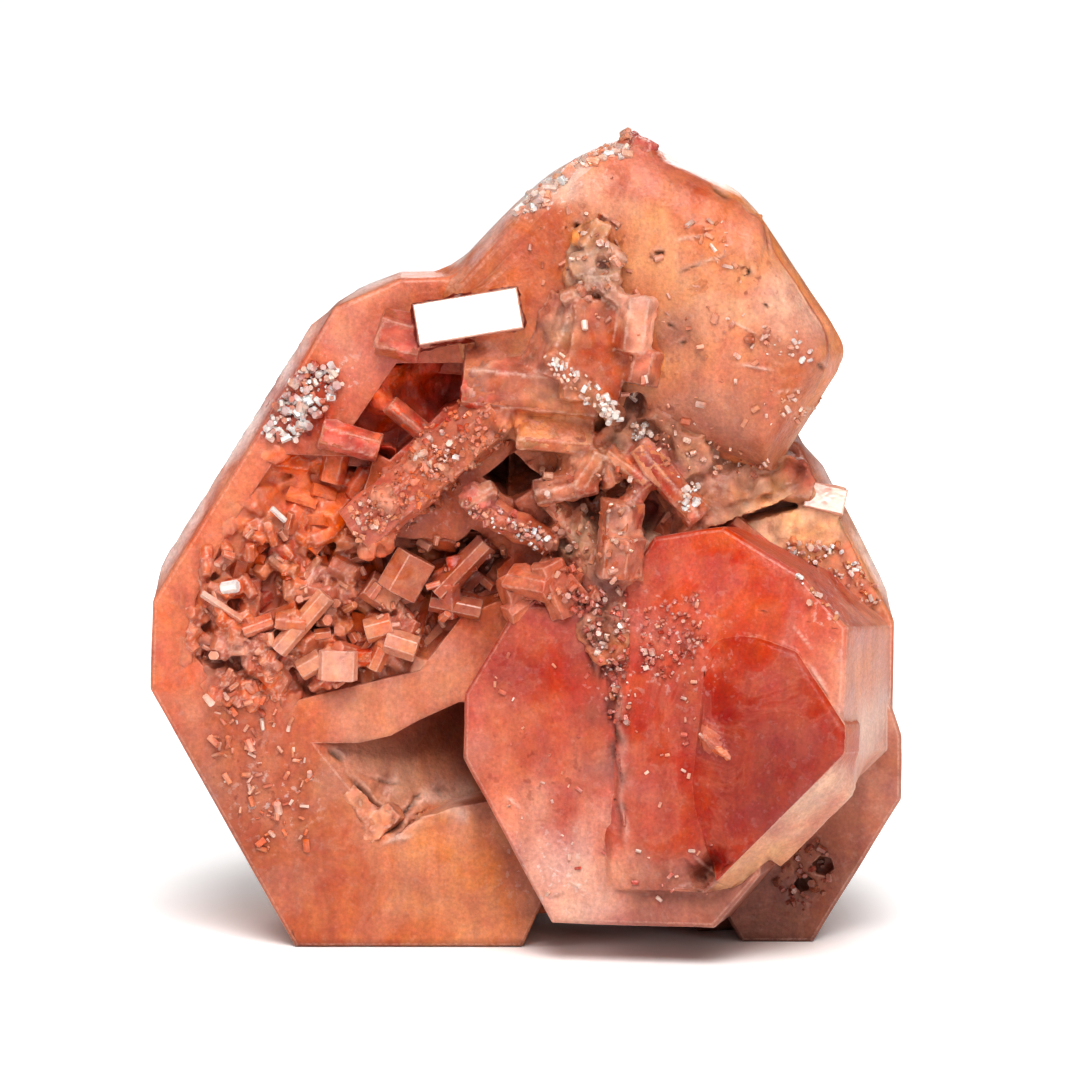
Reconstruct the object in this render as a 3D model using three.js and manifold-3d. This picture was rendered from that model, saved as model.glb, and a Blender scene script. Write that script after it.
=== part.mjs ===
// A cluster of vanadinite: thick six-sided plates grown into each other, and a hollow lined with crystals.
// Millimetres. +Z is up and z = 0 is what the cluster stands on; the open side of the cluster faces -Y.
import * as THREE from "three";
import { mergeVertices } from "three/addons/utils/BufferGeometryUtils.js";
import Module from "manifold-3d";

const wasm = await Module();
wasm.setup();

// Driving dimensions, in millimetres and degrees.
const plateFace = -2.5; // y of the face of the left plate
const plateThick = 6;
const seamGap = 0.3; // between the crust and the hollow that it lines
const hollowDepth = 1.9;
const hollowRimDepth = 0.7; // depth of the first step of the hollow
const hollowRimWidth = 0.4;
const pitSides = 6;
const crustSeed = 11; // the crystals of the crust are scattered by this seed
const crustCrystals = 58;
const farAway = 60; // half the square that an outline is trimmed from

const degree = Math.PI / 180;

// ---- Solids ----

// A closed geometry as a solid that can be joined and cut.
function solidOf(geometry) {
  const loose = geometry.index ? geometry.toNonIndexed() : geometry;
  const bare = new THREE.BufferGeometry();
  bare.setAttribute("position", loose.getAttribute("position"));
  const merged = mergeVertices(bare, 1e-5);
  const mesh = new wasm.Mesh({
    numProp: 3,
    vertProperties: merged.attributes.position.array,
    triVerts: new Uint32Array(merged.index.array),
  });
  return new wasm.Manifold(mesh);
}

function join(solids) {
  return solids.reduce((whole, solid) => whole.add(solid));
}

function cut(body, tools) {
  return tools.reduce((left, tool) => left.subtract(tool), body);
}

// The one outer skin that encloses the most, which leaves out sealed hollows and loose crumbs.
function wholePiece(solid) {
  return solid.decompose().reduce((best, piece) => (piece.volume() > best.volume() ? piece : best));
}

// The corners left when a wide square is trimmed by straight faces, each [angle of its normal, distance].
function trimmedOutline(faces) {
  let corners = [
    [-farAway, -farAway],
    [farAway, -farAway],
    [farAway, farAway],
    [-farAway, farAway],
  ];
  for (const [angle, distance] of faces) {
    const normal = [Math.cos(angle * degree), Math.sin(angle * degree)];
    const beyond = (corner) => corner[0] * normal[0] + corner[1] * normal[1] - distance;
    const kept = [];
    corners.forEach((corner, index) => {
      const next = corners[(index + 1) % corners.length];
      const here = beyond(corner);
      const there = beyond(next);
      if (here <= 0) {
        kept.push(corner);
      }
      if (here * there < 0) {
        const share = here / (here - there);
        kept.push([
          corner[0] + share * (next[0] - corner[0]),
          corner[1] + share * (next[1] - corner[1]),
        ]);
      }
    });
    corners = kept;
  }
  return corners;
}

// Turns a shape drawn in X and Z, whose axis is -Y, so that the axis leans to +X by turn and up by lift.
function placement(at, turn, lift, roll) {
  return new THREE.Matrix4()
    .makeTranslation(...at)
    .multiply(new THREE.Matrix4().makeRotationZ(turn * degree))
    .multiply(new THREE.Matrix4().makeRotationX((90 - lift) * degree))
    .multiply(new THREE.Matrix4().makeRotationZ(roll * degree));
}

// A straight-sided block over an outline: its face is at `at` and it reaches `thick` back along its axis.
// A bevel cuts the rims of both ends back by that much.
function block({ at, corners, thick, bevel = 0, turn = 0, lift = 0, roll = 0 }) {
  const shape = new THREE.Shape(corners.map(([x, y]) => new THREE.Vector2(x, y)));
  const geometry = new THREE.ExtrudeGeometry(shape, {
    depth: thick - 2 * bevel,
    bevelEnabled: bevel > 0,
    bevelThickness: bevel,
    bevelSize: bevel,
    bevelOffset: -bevel,
    bevelSegments: 1,
  });
  geometry.translate(0, 0, bevel - thick);
  return solidOf(geometry.applyMatrix4(placement(at, turn, lift, roll)));
}

// A tabular crystal, its outline trimmed by prism faces round `at`, the middle of its front face.
function plate({ faces, ...rest }) {
  return block({ corners: trimmedOutline(faces), ...rest });
}

// A six-sided prism centred on `at`, `long` along its axis, `wide` up its face and `deep` behind it.
function prism({ at, long, wide, deep, turn = 90, lift = 0, roll = 0, bevel = 0 }) {
  const side = (wide / 2) * Math.cos(30 * degree);
  const faces = [60, 120, 240, 300].map((angle) => [angle, side]);
  const corners = trimmedOutline([...faces, [0, deep / 2], [180, deep / 2]]);
  const axis = new THREE.Vector3(0, 0, long / 2).applyMatrix4(placement([0, 0, 0], turn, lift, roll));
  const front = [at[0] + axis.x, at[1] + axis.y, at[2] + axis.z];
  return block({ at: front, corners, thick: long, bevel, turn, lift, roll });
}

// A rectangular block whose face, `long` by `wide`, is centred on `at` and looks along its axis.
function slab({ at, long, wide, thick, turn = 0, lift = 0, roll = 0, bevel = 0 }) {
  const [x, y] = [long / 2, wide / 2];
  return block({ at, corners: [[-x, -y], [x, -y], [x, y], [-x, y]], thick, bevel, turn, lift, roll });
}

// A tool that cuts a straight-walled recess, from well in front of the face to `deepest`.
function recess(corners, deepest) {
  const thick = farAway;
  return block({ at: [0, deepest - thick, 0], corners, thick });
}

// Random numbers that come out the same on every run.
function seededRandom(seed) {
  let state = seed;
  return (low, high) => {
    state = (state + 0x6d2b79f5) | 0;
    let mixed = Math.imul(state ^ (state >>> 15), 1 | state);
    mixed = (mixed + Math.imul(mixed ^ (mixed >>> 7), 61 | mixed)) ^ mixed;
    return low + ((high - low) * ((mixed ^ (mixed >>> 14)) >>> 0)) / 4294967296;
  };
}

function insideOutline([x, z], corners) {
  let inside = false;
  corners.forEach(([ax, az], index) => {
    const [bx, bz] = corners[(index + 1) % corners.length];
    const crosses = az > z !== bz > z && x < ax + ((z - az) / (bz - az)) * (bx - ax);
    inside = inside !== crosses;
  });
  return inside;
}

// An outline, listed anticlockwise, with every edge moved inwards by `margin`.
function inset(corners, margin) {
  const inward = corners.map(([x, z], index) => {
    const [nextX, nextZ] = corners[(index + 1) % corners.length];
    const length = Math.hypot(nextX - x, nextZ - z);
    return [(z - nextZ) / length, (nextX - x) / length];
  });
  return corners.map(([x, z], index) => {
    const [before, after] = [inward.at(index - 1), inward[index]];
    const share = margin / (1 + before[0] * after[0] + before[1] * after[1]);
    return [x + (before[0] + after[0]) * share, z + (before[1] + after[1]) * share];
  });
}

// ---- Large crystals ----

// The left plate: a thin full outline in front and a thicker, lower plate behind it.
function leftPlate() {
  const at = [-1.5, plateFace, 10];
  const sides = [[-90, 10], [208.6, 9.78], [178, 10.03], [148, 8.93], [30, 7.5], [-25, 5.45]];
  return join([
    plate({ at, thick: 2.2, bevel: 0.1, faces: [...sides, [115, 10.8], [91, 10.85]] }),
    plate({ at, thick: plateThick, bevel: 0.1, faces: [...sides, [115, 10.1], [91, 10]] }),
  ]);
}

// The right plate stands parallel with the left one, with a lower plate grown on its foot.
function rightPlate() {
  const upperFaces = [[28, 6.6], [0, 5.85], [-35, 6], [-90, 5.5], [-150, 4], [150, 5], [90, 9.3], [62, 8.95]];
  const footFaces = [[18, 6.1], [0, 5.6], [-31, 4.54], [-90, 4], [-150, 1.41], [150, 3], [90, 5]];
  return join([
    plate({ at: [5.5, -1.5, 7], thick: 4.5, bevel: 0.1, faces: upperFaces }),
    plate({ at: [6, -1.7, 4], thick: 4.6, bevel: 0.1, faces: footFaces }),
  ]);
}

// The upper plate: a thin full rim, a smaller body behind it, and a face plate turned to the left in front.
function upperPlate() {
  const rim = [[137, 5.65], [110.6, 5.65], [64.7, 4.3], [33.7, 3.95], [0, 5.2], [-32.5, 5.03]];
  const body = [[137, 5], [110.6, 4.9], [64.7, 3.6], [33.7, 3.3], [0, 4.6], [-32.5, 4.6]];
  const face = [[137, 5.2], [110.6, 5.45], [64.7, 4.15], [33.7, 3.6], [0, 4.4], [-22, 4.4]];
  return join([
    plate({ at: [4.5, -2.8, 19.5], thick: 2.3, bevel: 0.12, faces: [...rim, [249, 3.4], [190, 6.6]] }),
    plate({ at: [4.5, -2.8, 19.5], thick: 5.2, bevel: 0.12, faces: [...body, [249, 3.4], [190, 5.6]] }),
    plate({
      at: [4.5, -4.1, 19.5],
      thick: 3,
      bevel: 0.2,
      turn: -9,
      lift: 2,
      faces: [...face, [249, 3.1], [205, 5.6]],
    }),
  ]);
}

// The front crystal: a pale left half and a red right half that lean apart at an upright suture.
function frontCrystal() {
  const leftHalf = [
    [180, 3], [209.5, 2.5], [-90, 4.75], [-40, 6.75], [0, 6.2], [40, 6], [90, 5], [150, 3.7],
  ];
  const rightHalf = [
    [-43, 3.5], [0, 3.7], [45, 4.5], [62, 4.75], [100, 5.5], [147, 4.9], [180, 3.45], [-90, 5.6],
  ];
  const redField = [[-43, 3.47], [0, 3.68], [37, 2.76], [73, 2.38], [100, 2.2], [176, 0.91], [200, 1.95]];
  return join([
    plate({ at: [1, -4.5, 6], thick: 5.5, bevel: 0.12, turn: -9, lift: 6, faces: leftHalf }),
    plate({ at: [6, -5.6, 8], thick: 5.8, bevel: 0.12, turn: -18, lift: 8, faces: rightHalf }),
    plate({ at: [6.07, -5.82, 8.04], thick: 2, bevel: 0.15, turn: -18, lift: 8, faces: redField }),
  ]);
}

// The hidden side: plates of the same habit, one of them edge on, which also carry the cluster.
function backPlates() {
  const broad = [[-90, 8.4], [-30, 6.9], [30, 6.7], [90, 7.2], [150, 7.1], [210, 7]];
  const low = [[-90, 6.6], [-30, 4.9], [30, 4.8], [90, 5.2], [150, 3.8], [180, 4], [210, 3.8]];
  const high = [[-90, 5.2], [-30, 4.6], [30, 4.3], [90, 4.4], [150, 4.5], [210, 4.7]];
  const edgeOn = [[-90, 3.4], [-30, 3.6], [30, 3.2], [90, 3.5], [150, 3.3], [210, 3.4]];
  const filler = [[-90, 8.2], [0, 4.2], [90, 5], [180, 5.2]];
  const terrace = [[-90, 4.9], [-30, 4.2], [30, 4.6], [90, 4.4], [150, 5], [210, 4.7]];
  const small = [[-90, 2.3], [-30, 2.2], [30, 2.4], [90, 2.1], [150, 2.3], [210, 2.2]];
  return join([
    plate({ at: [-2.6, 5.6, 8.4], thick: 4.5, bevel: 0.15, turn: 173, faces: broad }),
    plate({ at: [-3.3, 5.95, 7.7], thick: 2, bevel: 0.1, turn: 173, faces: terrace }),
    plate({ at: [-5.3, 4.5, 13.2], thick: 3.4, bevel: 0.12, turn: 152, lift: 14, faces: small }),
    plate({ at: [6.7, 4.2, 12.7], thick: 3.4, bevel: 0.12, turn: 208, lift: 22, faces: small }),
    plate({ at: [1.5, 4.1, 18.9], thick: 3, bevel: 0.12, turn: 165, lift: 24, faces: small }),
    plate({ at: [6.1, 4.6, 6.6], thick: 4.5, bevel: 0.15, turn: 194, faces: low }),
    plate({ at: [3.8, 3.2, 18], thick: 3.4, bevel: 0.15, turn: 186, lift: 8, faces: high }),
    plate({ at: [3.2, 3.16, 12.4], thick: 2.4, bevel: 0.12, turn: 99, lift: 24, faces: edgeOn }),
    plate({ at: [4, -1.2, 9], thick: 4.5, faces: filler }),
  ]);
}

// ---- Recesses ----

const hollowOutline = [
  [-9.2, 13], [-10.2, 10.9], [-10.2, 9.1], [-9.3, 8.1], [-7, 7.8], [-3.3, 8.7],
  [-2, 10.4], [-0.7, 10.9], [-1.2, 12.7], [-5.4, 12.9], [-4.7, 15.3], [-7.6, 15.4],
];
const redRecess = [[-5.3, 16.3], [-4, 18.2], [-1.4, 18.2], [-1, 17.5], [-2.3, 17], [-4.2, 15.2], [-5, 15.7]];

function hollowTools() {
  return [
    recess(hollowOutline, plateFace + hollowRimDepth),
    recess(inset(hollowOutline, hollowRimWidth), plateFace + hollowDepth),
    recess(redRecess, plateFace + 1.1),
    recess([[-4, 15.6], [-3.6, 17.8], [-1.6, 17.7], [-1.4, 17.2], [-2.5, 16.8]], plateFace + 2.3),
  ];
}

// The step low in the left plate: a flat floor that sinks to the right below a steep upper wall.
function stepTool() {
  const tip = [-6.62, plateFace, 6.42];
  const mouth = recess([
    [-6.62, 6.42], [-5.2, 6.42], [-4.2, 6.65], [-3.3, 7.15], [-2.1, 7.7], [0, 7.7],
    [0, 4.8], [-2.3, 4.4], [-3.4, 4], [-4.4, 3], [-5.6, 3.3],
  ], 5);
  const belowFloor = [[-30, -30], [30, -30], [30, 30], [-30, 30]];
  return mouth.subtract(block({ at: tip, corners: belowFloor, thick: 20, turn: 31, lift: 22 }));
}

// Dark gaps between the centre blocks, each [x, z, half width, half height, depth behind the plate face].
const centreGaps = [
  [-0.4, 14.7, 1, 0.8, 3.2],
  [-1.7, 12.2, 1.2, 0.9, 1.6],
  [3.7, 13.7, 0.55, 0.8, 1.5],
  [3.3, 17.1, 0.5, 0.65, 1.5],
  [2, 14.3, 0.4, 0.4, 1.2],
];

// Small pits of the upper plate and of the foot of the right plate, each [x, z, radius, y of its floor].
const pits = [
  [1.6, 22.5, 0.22, -2.9], [2.4, 22.9, 0.2, -3], [4, 21.7, 0.2, -3.5], [3.3, 23.6, 0.2, -3.3],
  [2.6, 24, 0.28, -3.2], [4.8, 17.4, 0.5, -3.65], [4.2, 19.5, 0.17, -3.6], [7, 22.4, 0.22, -3.6],
  [6.6, 21.2, 0.15, -3.7], [7.1, 20.5, 0.16, -3.7], [1.8, 20.9, 0.3, -3], [1.4, 22, 0.28, -2.9],
  [9.2, 2.4, 0.35, -1.2], [8.6, 1.9, 0.3, -1.1], [8.9, 12.2, 0.32, -1], [9.5, 12.6, 0.2, -1.1],
];

function gapTools() {
  return centreGaps.map(([x, z, halfWide, halfHigh, depth]) =>
    recess([[x - halfWide, z], [x, z - halfHigh], [x + halfWide, z], [x, z + halfHigh]], plateFace + depth)
  );
}

function pitTools() {
  return pits.map(([x, z, radius, floor]) => {
    const corners = Array.from({ length: pitSides }, (_, side) => {
      const angle = (side / pitSides) * 2 * Math.PI + x;
      return [x + radius * Math.cos(angle), z + radius * Math.sin(angle)];
    });
    return recess(corners, floor);
  });
}

// The narrow upright groove between the halves of the front crystal.
function sutureTool() {
  const corners = [
    [2.62, 11.6], [2.78, 8.6], [2.68, 6.4], [2.93, 4.3], [3.04, 4.3], [2.8, 6.4], [2.92, 8.6], [2.86, 11.6],
  ];
  return recess(corners, -4.5);
}

// ---- Centre blocks and blades ----

const centreBlocks = [
  { at: [-3.85, -2.9, 19.1], long: 1.3, wide: 1.5, deep: 1.2, lift: -14 },
  { at: [1.1, -3.2, 19.1], long: 2.4, wide: 1.9, deep: 2, lift: 68, roll: 14 }, // upper tan block
  { at: [0.15, -2.9, 17.6], long: 4.2, wide: 2.2, deep: 2, lift: -6, roll: 8 }, // broad tan block
  { at: [0.85, -3.2, 16.1], long: 2.3, wide: 1.25, deep: 1.6, lift: -4, roll: 20 },
  { at: [1.7, -4.5, 17.75], long: 3.1, wide: 0.95, deep: 0.9, lift: -43, roll: 10 }, // speckled strip
  { at: [3.3, -4.3, 19.6], long: 1.7, wide: 1.15, deep: 1, lift: 82 }, // light block
  { at: [3.45, -4, 18.3], long: 1.1, wide: 1.25, deep: 1.2, lift: 78 },
  { at: [-3.05, -3.1, 14.95], long: 5.7, wide: 1.75, deep: 1.5, lift: 41, roll: 12 }, // long bar
  { at: [-0.5, -3.2, 13.4], long: 2.9, wide: 0.9, deep: 0.9, lift: -27 },
  { at: [-5.4, -2.7, 15.85], long: 1.85, wide: 0.95, deep: 0.8, lift: -15 },
  { at: [-3.55, -2.5, 16.4], long: 1.7, wide: 0.65, deep: 0.9, lift: -40 },
  { at: [2.8, -4, 13], long: 2.3, wide: 1.35, deep: 1.3, lift: 84, roll: -12 }, // stepped prism
  { at: [2.85, -4.2, 12.5], long: 1.3, wide: 1.5, deep: 1.4, lift: 84, roll: -12 },
  { at: [4.3, -3.9, 14.75], long: 2.9, wide: 0.9, deep: 0.9, lift: -50, roll: 15 }, // red bar
  { at: [3, -3.9, 15.2], long: 1.5, wide: 0.6, deep: 0.7, lift: -38 },
  { at: [3.35, -3.8, 14.4], long: 1.4, wide: 0.6, deep: 0.7, lift: 48 },
  { at: [2.4, -3.7, 15.2], long: 1.2, wide: 0.6, deep: 0.7, lift: -68 },
  { at: [1.2, -3.1, 13.4], long: 1.8, wide: 0.7, deep: 0.8, lift: -55, roll: 20 },
  { at: [1, -3.2, 14.6], long: 1.6, wide: 0.7, deep: 0.8, lift: 35 },
  { at: [-1.9, -2.2, 11.9], long: 2.2, wide: 0.75, deep: 0.9, lift: 46 }, // blade by the hollow
  { at: [8.1, -2.3, 14.35], long: 1.3, wide: 0.95, deep: 1, lift: -8 },
  { at: [9.1, -2, 14], long: 1.3, wide: 0.9, deep: 1, lift: -12, roll: -14 }, // bright corner
  { at: [3.2, -2.4, 24.3], long: 1.7, wide: 1.2, deep: 1.1, lift: 68 }, // peak of the upper plate
  { at: [5.75, -5.75, 6.9], long: 1.2, wide: 0.4, deep: 0.5, lift: -39 },
  { at: [2, -3.7, 21.6], long: 1.3, wide: 0.6, deep: 0.6, lift: 62 },
  { at: [2.3, -3.6, 20.8], long: 1.1, wide: 0.55, deep: 0.6, lift: -30 },
  { at: [5.6, -4, 20.9], long: 1.2, wide: 0.45, deep: 0.5, lift: 22 },
];

// Blocks seen square on: the bright block, the one at the right edge, and the stack in the step.
const squareBlocks = [
  { at: [-1.72, -3.95, 19.8], long: 3.2, wide: 1.2, thick: 1.8, lift: 12, roll: 9.5 },
  { at: [9.15, -2.5, 14.05], long: 1.15, wide: 0.7, thick: 1.4, lift: 14, roll: -13 },
  { at: [2.15, -4.35, 18.75], long: 1.7, wide: 3, thick: 1.7, turn: 14, lift: 5, roll: -9 },
  { at: [-5, -2.42, 4.35], long: 1.5, wide: 0.5, thick: 0.8, turn: 20, lift: 14, roll: -52 },
  { at: [-4.6, -2.5, 3.9], long: 1.3, wide: 0.6, thick: 0.8, turn: -10, lift: 6, roll: 42 },
];

// Overlapping small crystals inside a box from one corner to the other.
function grains({ seed, count, from, to }) {
  const between = seededRandom(seed);
  return Array.from({ length: count }, () =>
    prism({
      at: [between(from[0], to[0]), between(from[1], to[1]), between(from[2], to[2])],
      long: between(0.9, 2),
      wide: between(0.6, 1.1),
      deep: between(0.7, 1.2),
      turn: between(60, 120),
      lift: between(-80, 80),
      roll: between(-30, 30),
    })
  );
}

// The porous middle that the blocks grow from, and the grains in the angles between the plates.
function centreFiller() {
  const bed = [[-150, 3.6], [-90, 3], [-30, 3.9], [30, 3.2], [90, 2.5], [150, 3.4]];
  return join([
    plate({ at: [3.2, -2.6, 15], thick: 4, turn: 6, lift: -4, faces: bed }),
    ...grains({ seed: 5, count: 26, from: [-0.5, -2.9, 12.6], to: [6.8, -2.1, 16.6] }),
    ...grains({ seed: 8, count: 14, from: [-0.2, -4, 10.9], to: [2.6, -3.1, 12.2] }),
    ...grains({ seed: 3, count: 16, from: [0.8, 3.1, 10.4], to: [4.8, 3.9, 14.4] }),
    ...grains({ seed: 4, count: 6, from: [-6.4, 3.9, 13.6], to: [-3.6, 4.4, 15.6] }),
  ]);
}

// ---- The crust of the hollow ----

const namedCrustCrystals = [
  { at: [-6.9, -2.3, 10.25], long: 2.15, wide: 0.65, deep: 0.6, lift: 46 },
  { at: [-5.8, -2.3, 8.95], long: 0.9, wide: 1.2, deep: 0.6, lift: 88 },
  { at: [-3.95, -2.3, 9.6], long: 1, wide: 0.8, deep: 0.7, lift: -17, roll: -20 },
  { at: [-4.6, -2.1, 10.1], long: 0.85, wide: 0.8, deep: 0.7, lift: 15 },
  { at: [-6.6, -2.1, 8.8], long: 0.9, wide: 0.45, deep: 0.6, lift: -15 },
  { at: [-4.75, -2, 9.15], long: 0.7, wide: 0.6, deep: 0.6, lift: 70 },
  { at: [-8.2, -2, 10], long: 1.2, wide: 0.5, deep: 0.6, lift: -40 },
  { at: [-7.6, -2, 13.7], long: 0.8, wide: 0.3, deep: 0.5, lift: -45 },
];

function hollowCrust() {
  const between = seededRandom(crustSeed);
  const room = inset(hollowOutline, hollowRimWidth + seamGap);
  const back = plateFace + hollowDepth - seamGap;
  const bed = recess(room, back).intersect(
    block({ at: [0, back - 0.7, 0], corners: [[-12, 6], [2, 6], [2, 17], [-12, 17]], thick: 1 })
  );
  const scattered = [];
  while (scattered.length < crustCrystals) {
    const x = between(-10.4, 0);
    const z = between(7.6, 15.2);
    if (!insideOutline([x, z], inset(room, 0.1))) {
      continue;
    }
    const size = between(0.5, 1.05);
    scattered.push(prism({
      at: [x, back - between(0.7, 1.25), z],
      long: size,
      wide: size * between(0.4, 0.75),
      deep: size * between(0.6, 0.9),
      turn: between(40, 140),
      lift: between(-85, 85),
      roll: between(-30, 30),
    }));
  }
  const crystals = join([bed, ...namedCrustCrystals.map(prism), ...scattered]);
  const neighbours = centreBlocks.map((spec) => {
    const [long, wide, deep] = [spec.long, spec.wide, spec.deep].map((size) => size + 2 * seamGap);
    return prism({ ...spec, long, wide, deep });
  });
  const overRim = recess(inset(hollowOutline, seamGap), plateFace + hollowRimDepth - seamGap);
  return wholePiece(cut(crystals.intersect(recess(room, back).add(overRim)), neighbours));
}

// ---- The whole cluster ----

function cluster() {
  const plates = join([leftPlate(), rightPlate(), backPlates()]);
  const carved = cut(plates, [...hollowTools(), stepTool()]);
  const grown = cut(join([carved, upperPlate(), frontCrystal(), centreFiller()]), [
    ...gapTools(),
    ...pitTools(),
    sutureTool(),
  ]);
  return wholePiece(join([grown, ...centreBlocks.map(prism), ...squareBlocks.map(slab)]));
}

function meshOf(solid, name, colour, roughness) {
  const made = solid.getMesh();
  const geometry = new THREE.BufferGeometry();
  const points = new Float32Array(made.numVert * 3);
  for (let i = 0; i < made.numVert; i++) {
    points.set(made.vertProperties.subarray(i * made.numProp, i * made.numProp + 3), i * 3);
  }
  geometry.setAttribute("position", new THREE.BufferAttribute(points, 3));
  geometry.setIndex(new THREE.BufferAttribute(new Uint32Array(made.triVerts), 1));
  geometry.computeVertexNormals();
  const mesh = new THREE.Mesh(geometry, new THREE.MeshStandardMaterial({ color: colour, roughness }));
  mesh.name = name;
  return mesh;
}

const group = new THREE.Group();
group.add(meshOf(cluster(), "crystal_cluster", 0xc4704f, 0.35));
group.add(meshOf(hollowCrust(), "hollow_crystal_crust", 0xb3573c, 0.35));

export default group;
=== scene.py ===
import math
import random

import bmesh
import bpy
import numpy as np
from mathutils import Matrix, Vector, noise
from mathutils.bvhtree import BVHTree


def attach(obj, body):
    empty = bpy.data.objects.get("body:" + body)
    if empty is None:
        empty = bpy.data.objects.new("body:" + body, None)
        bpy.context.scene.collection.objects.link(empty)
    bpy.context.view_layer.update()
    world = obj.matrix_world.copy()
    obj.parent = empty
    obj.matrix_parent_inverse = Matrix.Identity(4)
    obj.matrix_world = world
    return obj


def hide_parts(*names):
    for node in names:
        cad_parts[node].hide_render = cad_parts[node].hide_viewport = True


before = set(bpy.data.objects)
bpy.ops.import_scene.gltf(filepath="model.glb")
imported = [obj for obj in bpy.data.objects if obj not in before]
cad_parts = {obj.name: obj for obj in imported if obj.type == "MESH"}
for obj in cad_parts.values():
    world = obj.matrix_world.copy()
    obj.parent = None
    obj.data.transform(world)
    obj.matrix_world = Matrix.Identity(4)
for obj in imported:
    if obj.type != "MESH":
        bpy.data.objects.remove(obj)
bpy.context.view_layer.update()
mm = 0.001  # shapes are worked out in millimetres and written in metres
noiseSeed = 1795483556  # any other whole number gives other lumps and facets
noise.seed_set(noiseSeed)
print("frame loaded:", sorted(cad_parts))

# Colours of the stone in soft light, 0 to 255. Patches and crystals name them.
stoneColours = {
    "salmon": (226, 122, 88), "deepSalmon": (216, 108, 74), "paleSalmon": (232, 134, 104),
    "pink": (214, 110, 90), "rosePink": (206, 98, 84), "terracotta": (190, 103, 74),
    "clay": (196, 104, 78), "rust": (178, 78, 50), "orangeTan": (226, 142, 94),
    "apricot": (238, 158, 112), "peach": (243, 164, 130), "paleTan": (222, 142, 110),
    "greyTan": (192, 128, 98), "ashTan": (196, 146, 120), "mauve": (196, 122, 98),
    "mauveBrown": (160, 96, 78), "umber": (120, 66, 50), "brick": (190, 82, 62),
    "redOrange": (212, 84, 58), "deepRed": (172, 56, 40), "darkRed": (112, 26, 10), "dusk": (150, 84, 74),
    "blush": (234, 160, 134), "pearl": (236, 178, 156), "cream": (244, 206, 190), "snow": (255, 250, 246),
    "ember": (158, 34, 8), "glowRed": (205, 52, 8), "hotRed": (232, 92, 50), "flame": (255, 124, 68),
    "sunlit": (255, 190, 144),
}

tuning = {  # contrast is also the gamma of the view
    "gain": 0.68, "contrast": 0.8, "saturation": 1.12,
}


def linearColour(name):
    parts = [value / 255 for value in stoneColours[name]]
    parts = [v / 12.92 if v <= 0.04045 else ((v + 0.055) / 1.055) ** 2.4 for v in parts]
    parts = [v ** tuning["contrast"] for v in parts]
    grey = sum(parts) / 3
    return np.array([tuning["gain"] * max(0.004, grey + (v - grey) * tuning["saturation"]) for v in parts])


studio = {  # camera, floor and light, in millimetres and degrees
    "aim": (0.4, -2.0, 12.68), "distance": 184.6, "lookDown": 8, "lens": 200, "nearest": 0.01,
    "floor": 420,  # side of the floor
    "floorColour": (0.95, 0.95, 0.95), "floorRoughness": 0.9, "floorSheen": 0.1,
    "floorGlow": (0.007, 0.015, 0.0, 0.36),  # from and to how far out in metres, and how strong there
    "surround": 0.17,  # how strongly the white room lights the stone
    "backdrop": 1.05,
    "softboxes": {  # turn to the right of the camera, height angle, distance, width, height, strength
        "topBox": (4, 52, 480, 300, 260, 10.6), "frontStrip": (0, 17, 520, 170, 60, 8.0),
        "leftBox": (-75, 26, 520, 200, 240, 3.4), "rightBox": (52, 9, 520, 180, 150, 7.5),
        "backBox": (172, 20, 520, 260, 120, 7.0),
    },
}


def nodeMaker(tree):
    def make(kind, inputs=None, **settings):
        node = tree.nodes.new(kind)
        for key, value in settings.items():
            setattr(node, key, value)
        for key, value in (inputs or {}).items():
            if isinstance(value, bpy.types.NodeSocket):
                tree.links.new(value, node.inputs[key])
            else:
                node.inputs[key].default_value = value
        return node
    return make


def placeCamera(look):
    tilt = math.radians(look["lookDown"])
    aim = Vector(look["aim"])
    camera = bpy.data.objects.new("camera", bpy.data.cameras.new("camera"))
    bpy.context.scene.collection.objects.link(camera)
    camera.location = (aim + look["distance"] * Vector((0, -math.cos(tilt), math.sin(tilt)))) * mm
    camera.rotation_euler = (math.pi / 2 - tilt, 0, 0)
    camera.data.lens = look["lens"]
    camera.data.clip_start = look["nearest"]
    bpy.context.scene.camera = camera


def layFloor(look):
    half = look["floor"] / 2 * mm
    floorMesh = bpy.data.meshes.new("floor")
    corners = [(-half, -half, 0), (half, -half, 0), (half, half, 0), (-half, half, 0)]
    floorMesh.from_pydata(corners, [], [(0, 1, 2, 3)])
    floor = bpy.data.objects.new("floor", floorMesh)
    bpy.context.scene.collection.objects.link(floor)
    paper = bpy.data.materials.new("whitePaper")
    paper.use_nodes = True
    shader = paper.node_tree.nodes["Principled BSDF"]
    shader.inputs["Base Color"].default_value = (*look["floorColour"], 1)
    shader.inputs["Roughness"].default_value = look["floorRoughness"]
    shader.inputs["Specular IOR Level"].default_value = look["floorSheen"]
    make = nodeMaker(paper.node_tree)
    at = make("ShaderNodeTexCoord").outputs["Object"]
    fromMiddle = make("ShaderNodeVectorMath", {0: at}, operation="LENGTH").outputs["Value"]
    near, far, low, high = look["floorGlow"]
    glow = make("ShaderNodeMapRange", {
        "Value": fromMiddle, "From Min": near, "From Max": far, "To Min": low, "To Max": high,
    })
    shader.inputs["Emission Color"].default_value = (1, 1, 1, 1)
    paper.node_tree.links.new(glow.outputs["Result"], shader.inputs["Emission Strength"])
    floor.data.materials.append(paper)


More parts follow.
